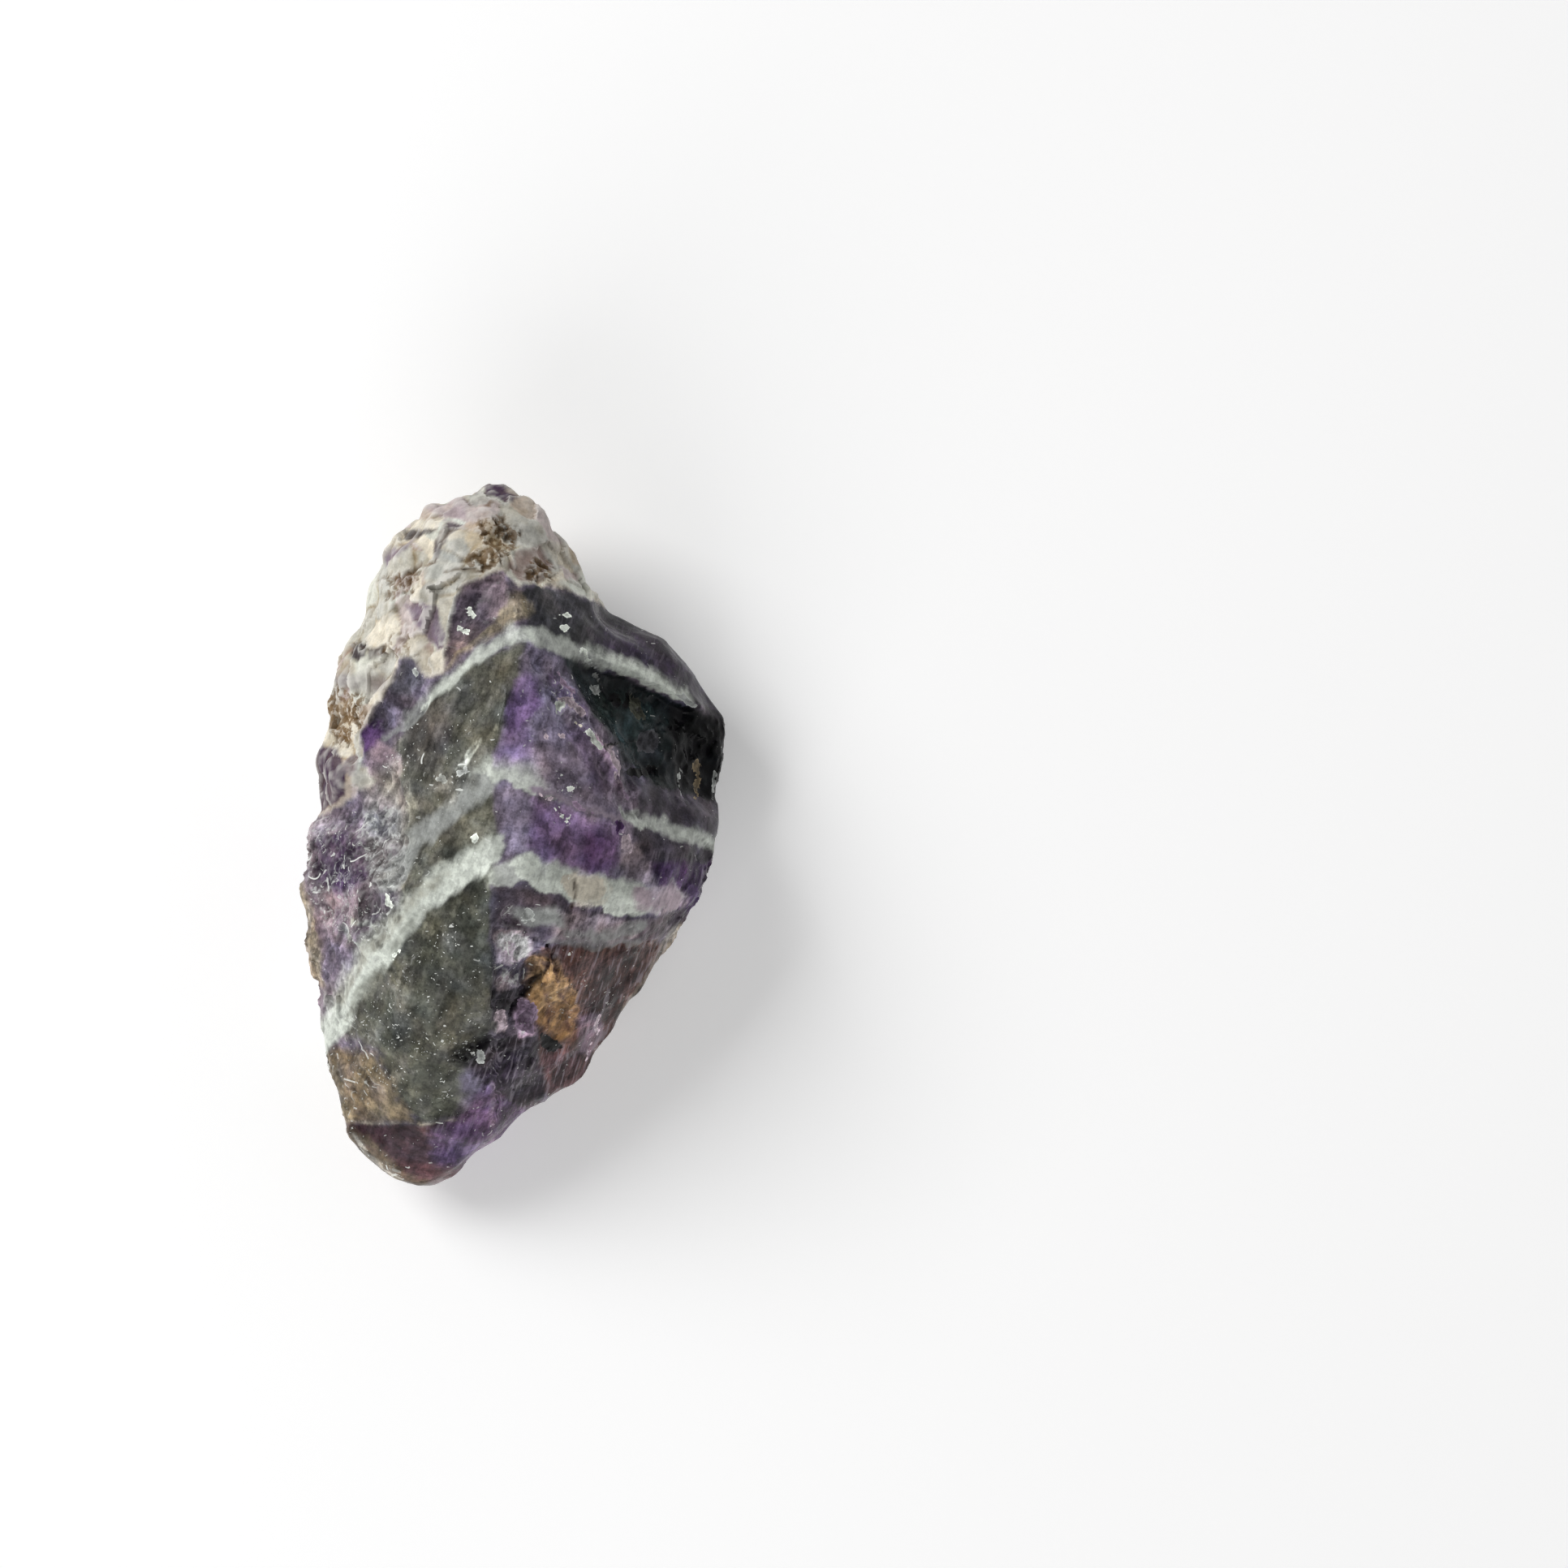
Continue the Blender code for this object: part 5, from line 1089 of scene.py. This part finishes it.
class AMETHYST_OT_stone(bpy.types.Operator):
    """Builds the stone, with its chips, ledges, rind and colours"""

    bl_idname = "amethyst.stone"
    bl_label = "Stone"

    def execute(self, context):
        sizes = context.scene.amethyst_sizes
        only(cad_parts[NODE])
        bpy.ops.object.duplicate()
        stone = context.object
        stone.name = STONE
        stone.data.name = STONE
        stone.parent = None
        for key in list(stone.keys()):
            del stone[key]
        bpy.ops.object.mode_set(mode="EDIT")
        bpy.ops.mesh.select_all(action="SELECT")
        bpy.ops.mesh.remove_doubles(threshold=1e-6)
        bpy.ops.mesh.customdata_custom_splitnormals_clear()
        bpy.ops.object.mode_set(mode="OBJECT")
        self.refine(stone, sizes)
        canvas, masks = paint(points_of(stone) / MM, context.scene.amethyst_colours)
        self.weather(stone, sizes, canvas, masks)
        self.settle(stone)
        self.colour(stone, canvas, masks)
        only(stone)
        bpy.ops.object.shade_smooth_by_angle(angle=math.radians(38.0))
        stone.data.materials.clear()
        stone.data.materials.append(stone_material())
        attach(stone, "root")
        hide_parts(NODE)
        return {"FINISHED"}

    def refine(self, stone, sizes):
        """An even, fine mesh, eased so that the coarse facets melt together."""
        fine = stone.modifiers.new("even mesh", "REMESH")
        fine.mode = "VOXEL"
        fine.voxel_size = sizes.grain
        bpy.ops.object.modifier_apply(modifier=fine.name)
        ease = stone.modifiers.new("ease", "SMOOTH")
        ease.factor = 0.5
        ease.iterations = 10
        bpy.ops.object.modifier_apply(modifier=ease.name)

    def weather(self, stone, sizes, canvas, masks):
        """Presses steps, chips, ledges, cracks and the lumpy, pitted rind into the surface."""
        points = canvas.points
        # Nothing moves where the stone touches the ground.
        free = smooth_step(points[:, 2] / 1.6)
        rind = masks["rind"] * free
        broken = (1.0 - masks["rind"]) * free
        chipped = masks["chipped"] * broken
        fibrous = masks["fibrous"] * broken
        press(stone, "drawn steps", stepped(canvas) * free, -sizes.step * MM)
        press(stone, "large facets", chipped * (1.0 - shattered(points, 3.4, 3)[0]), -sizes.facet)
        press(stone, "small facets", chipped * (1.0 - shattered(points, 1.5, 7)[0]), -sizes.facet * 0.5)
        saw = np.where(canvas.x < -1.0, ledges(points, 2.32, 2.1, 31), ledges(points, 1.25, 2.4, 33))
        patchy = smooth_step(value_noise(points, 6.0, 35) * 1.6 + 0.3)
        press(stone, "ledges", saw * patchy * np.maximum(chipped, fibrous), -sizes.ledge)
        columns = 0.5 + 0.5 * canvas.strands(0.5, 3.0, 73)
        press(stone, "columns", columns * masks["fibrous"] * broken, -sizes.column)
        swell = layered(points, (3.6, 0.6, 71), (1.5, 0.25, 72))
        press(stone, "swells", (0.5 + 0.5 * swell) * broken, -sizes.swell)
        plates = 1.0 - shattered(points, RIND_BLOCK, 67)[0]
        press(stone, "plates", rind * plates, -sizes.rind_lump * 0.65)
        press(stone, "rind lumps", rind, sizes.rind_lump, cloud_texture("rind lumps", 2.6, 1), 0.55)
        press(stone, "rind grain", rind, sizes.rind_grain * 2.0, cloud_texture("rind grain", 0.5, 2), 0.5)
        masks["holes"] = smooth_step(value_noise(points, 0.55, 41) * 1.8 - 0.1) * masks["porous"] * free
        press(stone, "pits", masks["holes"], -sizes.pit)
        press(stone, "cracks", masks["cracks"] * free, -sizes.crack)

    def settle(self, stone):
        """Keeps the stone inside its own solid's box and flat where it rests."""
        low, high = (np.array(corner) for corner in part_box(NODE))
        points = points_of(stone)
        least = points.min(axis=0)
        points = low + (points - least) * (high - low) / (points.max(axis=0) - least)
        points[:, 2] = np.where(points[:, 2] < 0.06 * MM, 0.0, points[:, 2])
        stone.data.vertices.foreach_set("co", points.ravel())
        stone.data.update()

    def colour(self, stone, canvas, masks):
        """Stores the colours and masks on the mesh for the material."""
        bend = bend_of(stone) / FULL_CREST
        colours = {"pigment": canvas.colour, "veil": canvas.veil, "chip_tint": canvas.chip_tint}
        for name, colour in colours.items():
            filled = np.ones((len(bend), 4))
            filled[:, :3] = np.clip(colour, 0.0, 1.0)
            layer = stone.data.color_attributes.new(name, "FLOAT_COLOR", "POINT")
            layer.data.foreach_set("color", filled.ravel())
        kept = {name: mask for name, mask in masks.items() if name not in ("cracks", "chipped")}
        kept["right_limb"] = canvas.right
        kept["proud"] = np.maximum(bend, 0.0)
        kept["sunk"] = np.maximum(-bend, 0.0)
        for name, mask in kept.items():
            layer = stone.data.attributes.new(name, "FLOAT", "POINT")
            layer.data.foreach_set("value", np.clip(mask, -1.0, 1.0))


def put(tree, kind, feeds=None, **settings):
    """Adds a node, sets its properties, and fills or links its input sockets."""
    node = tree.nodes.new(kind)
    for key, setting in settings.items():
        setattr(node, key, setting)
    for socket, source in (feeds or {}).items():
        if isinstance(source, bpy.types.NodeSocket):
            tree.links.new(source, node.inputs[socket])
        else:
            node.inputs[socket].default_value = source
    place = len(tree.nodes) - 1
    node.location = (220.0 * (place % 9), -320.0 * (place // 9))
    return node


def maths(tree, operation, first, second=0.0, clamp=False):
    return put(tree, "ShaderNodeMath", {0: first, 1: second}, operation=operation, use_clamp=clamp).outputs[0]


def times(tree, first, *others):
    """The product of several values, from left to right."""
    for other in others:
        first = maths(tree, "MULTIPLY", first, other)
    return first


def plus(tree, first, second):
    return maths(tree, "ADD", first, second)


def minus(tree, first, second):
    return maths(tree, "SUBTRACT", first, second)


def higher(tree, first, second):
    """The higher of two values."""
    return maths(tree, "MAXIMUM", first, second)


def below(tree, value, limit):
    """1 where the value is below the limit, and 0 elsewhere."""
    return maths(tree, "LESS_THAN", value, limit)


def vector(tree, operation, first, second=None, **feeds):
    given = {0: first} if second is None else {0: first, 1: second}
    return put(tree, "ShaderNodeVectorMath", {**given, **feeds}, operation=operation).outputs[0]


def scale_by(tree, first, factor):
    """A vector or colour times one number."""
    return vector(tree, "SCALE", first, Scale=factor)


def steps(tree, value, low, high, to_low=0.0, to_high=1.0):
    """Maps a value smoothly from one range to another, held at both ends."""
    return put(tree, "ShaderNodeMapRange", {
        "Value": value, "From Min": low, "From Max": high, "To Min": to_low, "To Max": to_high,
    }, interpolation_type="SMOOTHSTEP").outputs["Result"]


def mix(tree, share, first, second):
    return put(tree, "ShaderNodeMix", {"Factor": share, 2: first, 3: second}).outputs[0]


def blend(tree, share, first, second):
    """Mixes two colours."""
    return put(tree, "ShaderNodeMix", {"Factor": share, 6: first, 7: second},
               data_type="RGBA", blend_type="MIX", clamp_factor=True).outputs[2]


def noise(tree, where, scale, detail=2.0, roughness=0.6):
    return put(tree, "ShaderNodeTexNoise", {
        "Vector": where, "Scale": scale, "Detail": detail, "Roughness": roughness}).outputs["Fac"]


def cell_pattern(tree, given, **settings):
    """A pattern of cells, each with its own random colour, and that colour's three parts."""
    node = put(tree, "ShaderNodeTexVoronoi", {"Vector": given["Vector"], "Scale": given["Fineness"]},
               **settings).outputs
    return node, put(tree, "ShaderNodeSeparateColor", {"Color": node["Color"]}).outputs


def attribute(tree, name, output="Fac"):
    return put(tree, "ShaderNodeAttribute", attribute_name=name).outputs[output]


def new_group(name, inputs, outputs):
    """An empty shader node group with a vector input and other named sockets."""
    tree = bpy.data.node_groups.new(name, "ShaderNodeTree")
    for side, sockets in (("INPUT", (("Vector", "Vector"), *inputs)), ("OUTPUT", outputs)):
        for label, kind in sockets:
            tree.interface.new_socket(name=label, in_out=side, socket_type="NodeSocket" + kind)
    entry = tree.nodes.new("NodeGroupInput")
    leave = tree.nodes.new("NodeGroupOutput")
    leave.location = (2200.0, 0.0)
    return tree, entry.outputs, leave.inputs


def place_group(tree, group, **feeds):
    return put(tree, "ShaderNodeGroup", feeds, node_tree=group).outputs


def fibres_group():
    """Fine columns of crystal, side by side; the lean is that of the left or of the right limb."""
    tree, given, result = new_group(
        "Growth fibres", (("Right", "Float"), ("Fineness", "Float")), (("Streak", "Float"),))
    lean = steps(tree, given["Right"], 0.0, 1.0, LEFT_LEAN, RIGHT_LEAN)
    turned = put(tree, "ShaderNodeVectorRotate", {"Vector": given["Vector"], "Angle": lean},
                 rotation_type="Z_AXIS").outputs[0]
    drawn = vector(tree, "MULTIPLY", turned, (1.0, 0.09, 0.14))
    tree.links.new(steps(tree, noise(tree, drawn, given["Fineness"]), 0.32, 0.68), result["Streak"])
    return tree


def flakes_group():
    """Scattered small bright flakes, partly white specks in the quartz and partly painted glints: a cell of
    the pattern may hold one, of any size.
    """
    tree, given, result = new_group(
        "Flakes", (("Fineness", "Float"), ("Share", "Float")), (("Mask", "Float"), ("Tilt", "Vector")))
    cell, parts = cell_pattern(tree, given, distance="MANHATTAN")
    chosen = below(tree, parts[0], given["Share"])
    reach = plus(tree, times(tree, maths(tree, "POWER", parts[1], 3.0), 0.32), 0.07)
    spot = below(tree, cell["Distance"], reach)
    tilt = vector(tree, "SUBTRACT", cell["Color"], (0.5, 0.5, 0.5))
    bright = steps(tree, parts[2], 0.0, 1.0, 0.25, 1.0)
    tree.links.new(times(tree, chosen, spot, bright), result["Mask"])
    tree.links.new(tilt, result["Tilt"])
    return tree


def marks_group():
    """Short curved white marks: small bent flaws, each turned its own way, cut by the surface."""
    tree, given, result = new_group(
        "Marks", (("Fineness", "Float"), ("Share", "Float"), ("Width", "Float")), (("Mask", "Float"),))
    cell, parts = cell_pattern(tree, given)
    local = scale_by(tree, vector(tree, "SUBTRACT", given["Vector"], cell["Position"]), given["Fineness"])
    angles = scale_by(tree, cell["Color"], FULL_TURN)
    turned = put(tree, "ShaderNodeVectorRotate", {"Vector": local, "Rotation": angles},
                 rotation_type="EULER_XYZ").outputs[0]
    place = put(tree, "ShaderNodeSeparateXYZ", {"Vector": turned}).outputs
    arch = times(tree, times(tree, place[0], place[0]), steps(tree, parts[2], 0.0, 1.0, -1.6, 1.6))
    thin = below(tree, maths(tree, "ABSOLUTE", minus(tree, place[1], arch)), given["Width"])
    size = steps(tree, parts[1], 0.0, 1.0, 0.12, 0.5)
    long = below(tree, maths(tree, "ABSOLUTE", place[0]), size)
    chosen = below(tree, parts[0], given["Share"])
    bright = times(tree, chosen, steps(tree, parts[2], 0.0, 1.0, 0.25, 1.0))
    tree.links.new(times(tree, times(tree, thin, long), bright), result["Mask"])
    return tree


def stone_material():
    """Glassy on the breaks, milky on the bands, dull and gritty on the rind."""
    material = bpy.data.materials.new("amethyst")
    material.use_nodes = True
    tree = material.node_tree
    shader = tree.nodes["Principled BSDF"]
    shader.location = (2400.0, 0.0)
    tree.nodes["Material Output"].location = (2700.0, 0.0)
    where = put(tree, "ShaderNodeTexCoord").outputs["Object"]
    pigment, veil, chip_tint = (attribute(tree, name, "Color") for name in ("pigment", "veil", "chip_tint"))
    band, rind, frost, glitter, crust, fibrous, chip, proud, sunk, right, holes, porous = (
        attribute(tree, name) for name in (
            "band", "rind", "frost", "glitter", "crust", "fibrous", "chip", "proud", "sunk", "right_limb",
            "holes", "porous"))
    broken = minus(tree, 1.0, rind)

    # Milky bands over the pigment, both made uneven by fibres, grit and grain.
    streak = place_group(tree, fibres_group(), Vector=where, Right=right, Fineness=FIBRES)["Streak"]
    grit = noise(tree, where, GRIT)
    mottle = steps(tree, grit, 0.32, 0.68)
    tuft = steps(tree, plus(tree, times(tree, streak, 0.4), times(tree, mottle, 0.6)), 0.1, 0.9, 0.93, 1.04)
    milk = maths(tree, "MULTIPLY", steps(tree, band, 0.0, 1.0), tuft, True)
    body = blend(tree, milk, pigment, veil)
    uneven = plus(tree, times(tree, streak, 0.35), times(tree, mottle, 0.65))
    depth = steps(tree, uneven, 0.1, 0.9, 0.74, 1.28)
    grain = noise(tree, where, GRAIN, 1.0, 0.5)
    depth = plus(tree, depth, times(tree, minus(tree, grain, 0.5), 0.9))
    depth = plus(tree, depth, times(tree, minus(tree, streak, 0.5), times(tree, fibrous, 0.9)))
    depth = mix(tree, times(tree, higher(tree, milk, rind), 0.6), depth, 1.0)
    shaded = scale_by(tree, body, depth)

    # The rind's pale crests, partly its own pale rims and partly painted highlight, its dark hollows, which
    # are painted shade, and its rust and pits.
    shaded = blend(tree, times(tree, proud, rind, 0.55), shaded, RIND_CREST_AND_HIGHLIGHT)
    hollow_shaded = blend(tree, times(tree, sunk, rind, 0.25), shaded, RIND_HOLLOW_SHADE)
    rusty = steps(tree, plus(tree, grit, times(tree, porous, 0.16)), 0.58, 0.68)
    stained = blend(tree, times(tree, rusty, times(tree, porous, 0.9)), hollow_shaded, RUST_FILM)
    pitted = blend(tree, times(tree, holes, 0.9), stained, PIT_BOTTOM)
    # Painted sheen: the brightest fibre streaks are lightened toward a pale gleam.
    gleaming = times(tree, steps(tree, streak, 0.7, 0.95), fibrous, 0.5)
    fibre_gleamed = blend(tree, gleaming, pitted, FIBRE_GLEAM)

    # White flakes and marks on the breaks. The flakes are partly white specks in the quartz and partly
    # painted glints.
    flakes = flakes_group()
    small = place_group(tree, flakes, Vector=where, Fineness=SMALL_FLAKES, Share=times(tree, glitter, 0.26))
    large = place_group(tree, flakes, Vector=where, Fineness=LARGE_FLAKES,
                        Share=steps(tree, glitter, 0.0, 1.0, 0.0, 0.06))
    marks = marks_group()
    tiny = place_group(tree, marks, Vector=where, Fineness=TINY_MARKS, Width=0.15,
                       Share=times(tree, maths(tree, "POWER", glitter, 2.0), 0.20))
    scratched = higher(tree, frost, times(tree, glitter, 0.3))
    short = place_group(tree, marks, Vector=where, Fineness=SHORT_MARKS, Width=0.10,
                        Share=steps(tree, scratched, 0.0, 1.0, 0.01, 0.16))
    long = place_group(tree, marks, Vector=where, Fineness=LONG_MARKS, Width=0.045,
                       Share=steps(tree, frost, 0.1, 1.0, 0.0, 0.75))
    specks = maths(tree, "ADD", times(tree, small["Mask"], 0.6), large["Mask"], True)
    longer = higher(tree, times(tree, short["Mask"], 0.75), long["Mask"])
    lines = times(tree, higher(tree, tiny["Mask"], longer), 0.85)
    frosted = times(tree, higher(tree, specks, lines), broken)

    # White crust and its web of fine cracks, then the chips with their brighter rims.
    waves = noise(tree, where, WAVES, 3.0)
    heavy = plus(tree, plus(tree, times(tree, grit, 0.5), times(tree, waves, 0.5)),
                 times(tree, minus(tree, crust, 1.0), 0.25))
    crusted = times(tree, steps(tree, heavy, 0.47, 0.57), 0.75)
    crest = maths(tree, "ABSOLUTE", minus(tree, waves, 0.5))
    web = times(tree, steps(tree, crest, 0.006, 0.024, 1.0, 0.0), steps(tree, crust, 0.2, 0.8))
    crusted = higher(tree, crusted, times(tree, web, steps(tree, mottle, 0.2, 0.7, 0.2, 0.95)))
    edges = times(tree, times(tree, proud, broken), times(tree, crust, 0.6))
    dusted = blend(tree, higher(tree, crusted, edges), fibre_gleamed, CRUST_WHITE)
    border = plus(tree, chip, minus(tree, grit, 0.5))
    rim = times(tree, steps(tree, border, 0.04, 0.16, 1.3, 0.8), steps(tree, mottle, 0.0, 1.0, 0.6, 1.35))
    rimmed = scale_by(tree, chip_tint, rim)
    chipped = blend(tree, steps(tree, border, -0.03, 0.03), dusted, rimmed)
    whitened = blend(tree, frosted, chipped, FLAKE_AND_GLINT_WHITE)
    surface = blend(tree, times(tree, sunk, broken, 0.5), whitened, CHIP_SHADOW)
    tree.links.new(surface, shader.inputs["Base Color"])

    # Gloss: glassy breaks, satin bands, dull rind.
    satin = mix(tree, milk, steps(tree, mottle, 0.0, 1.0, 0.14, 0.26), 0.38)
    frosty = plus(tree, satin, times(tree, frosted, 0.25))
    tree.links.new(mix(tree, rind, frosty, 0.62), shader.inputs["Roughness"])

    # Large flakes catch the light, each at its own tilt, and the grit is slightly raised.
    shown = put(tree, "ShaderNodeNewGeometry").outputs["Normal"]
    amount = times(tree, plus(tree, 0.04, times(tree, frost, 0.30)), broken)
    tilted = vector(tree, "ADD", shown, scale_by(tree, large["Tilt"], amount))
    facing = vector(tree, "NORMALIZE", tilted)
    rough = steps(tree, higher(tree, times(tree, rind, 0.35), crust), 0.0, 1.0, 0.12, 0.5)
    bump = put(tree, "ShaderNodeBump", {
        "Strength": rough, "Distance": 0.3 * MM, "Height": grit, "Normal": facing})
    tree.links.new(bump.outputs["Normal"], shader.inputs["Normal"])
    shader.inputs["IOR"].default_value = 1.545
    shader.inputs["Specular IOR Level"].default_value = 0.07
    return material


class AMETHYST_OT_stage(bpy.types.Operator):
    """Lays the pale floor, sets the soft lights and hangs the camera over the stone"""

    bl_idname = "amethyst.stage"
    bl_label = "Stage"

    def execute(self, context):
        lights = context.scene.amethyst_lights
        bpy.ops.object.select_all(action="DESELECT")
        bpy.ops.mesh.primitive_plane_add(size=12.0, location=(0.0, 0.0, 0.0))
        floor = context.object
        floor.name = "pale_floor"
        floor.data.materials.append(self.pale(lights))
        self.lamp("key softbox", (-0.72, 0.52, 0.75), 0.60, lights.key)
        self.lamp("fill softbox", (-0.30, -0.90, 0.42), 0.80, lights.fill)
        world = context.scene.world or bpy.data.worlds.new("studio")
        context.scene.world = world
        world.use_nodes = True
        self.backdrop(world.node_tree, lights.room)
        context.scene.view_settings.view_transform = "Standard"
        bpy.ops.object.camera_add(location=tuple(EYE * MM), rotation=(0.0, 0.0, 0.0))
        camera = context.object
        camera.name = "overhead camera"
        camera.data.lens = 150.0
        camera.data.sensor_width = 36.0
        camera.data.clip_start = 0.01
        camera.data.clip_end = 50.0
        context.scene.camera = camera
        return {"FINISHED"}

    def pale(self, lights):
        """The floor's material: matt, and glowing a little like a light table."""
        material = bpy.data.materials.new("pale floor")
        material.use_nodes = True
        inputs = material.node_tree.nodes["Principled BSDF"].inputs
        inputs["Base Color"].default_value = (*lights.floor, 1.0)
        inputs["Roughness"].default_value = 0.75
        inputs["Emission Color"].default_value = WHITE
        inputs["Emission Strength"].default_value = lights.glow
        return material

    def backdrop(self, tree, strength):
        """An even pale room whose ceiling is dim, so that the glassy breaks stay dark and deep."""
        background = tree.nodes["Background"]
        direction = put(tree, "ShaderNodeTexCoord").outputs["Generated"]
        upward = put(tree, "ShaderNodeSeparateXYZ", {"Vector": direction}).outputs["Z"]
        shine = steps(tree, upward, 0.25, 0.85, strength, strength * 0.08)
        background.inputs["Color"].default_value = WHITE
        tree.links.new(shine, background.inputs["Strength"])

    def lamp(self, name, place, size, strength):
        """A square softbox that faces the middle of the stone."""
        bpy.ops.object.light_add(type="AREA", location=place)
        lamp = bpy.context.object
        lamp.name = name
        lamp.data.shape = "SQUARE"
        lamp.data.size = size
        lamp.data.energy = strength
        toward = Vector((0.0, 0.0, 0.01)) - lamp.location
        lamp.rotation_euler = toward.to_track_quat("-Z", "Y").to_euler()


class AMETHYST_PT_panel(bpy.types.Panel):
    """Lists what can be built and the sizes, colours and lights it is built from"""

    bl_label = "Chevron amethyst"
    bl_idname = "AMETHYST_PT_panel"
    bl_space_type = "VIEW_3D"
    bl_region_type = "UI"
    bl_category = "Amethyst"

    def draw(self, context):
        scene = context.scene
        for operator, settings in (
            (AMETHYST_OT_stone, (scene.amethyst_sizes, scene.amethyst_colours)),
            (AMETHYST_OT_stage, (scene.amethyst_lights,)),
        ):
            box = self.layout.box()
            box.operator(operator.bl_idname)
            for group in settings:
                for name in group.__annotations__:
                    box.prop(group, name)


GROUPS = {"amethyst_sizes": StoneSizes, "amethyst_colours": StoneColours, "amethyst_lights": StageLights}
CLASSES = (*GROUPS.values(), AMETHYST_OT_stone, AMETHYST_OT_stage, AMETHYST_PT_panel)


def register():
    for each in CLASSES:
        bpy.utils.register_class(each)
    for name, group in GROUPS.items():
        setattr(bpy.types.Scene, name, bpy.props.PointerProperty(type=group))


def unregister():
    for name in GROUPS:
        delattr(bpy.types.Scene, name)
    for each in reversed(CLASSES):
        bpy.utils.unregister_class(each)


def main():
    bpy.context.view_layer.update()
    register()
    bpy.ops.amethyst.stone()
    bpy.ops.amethyst.stage()


if __name__ == "__main__":
    main()
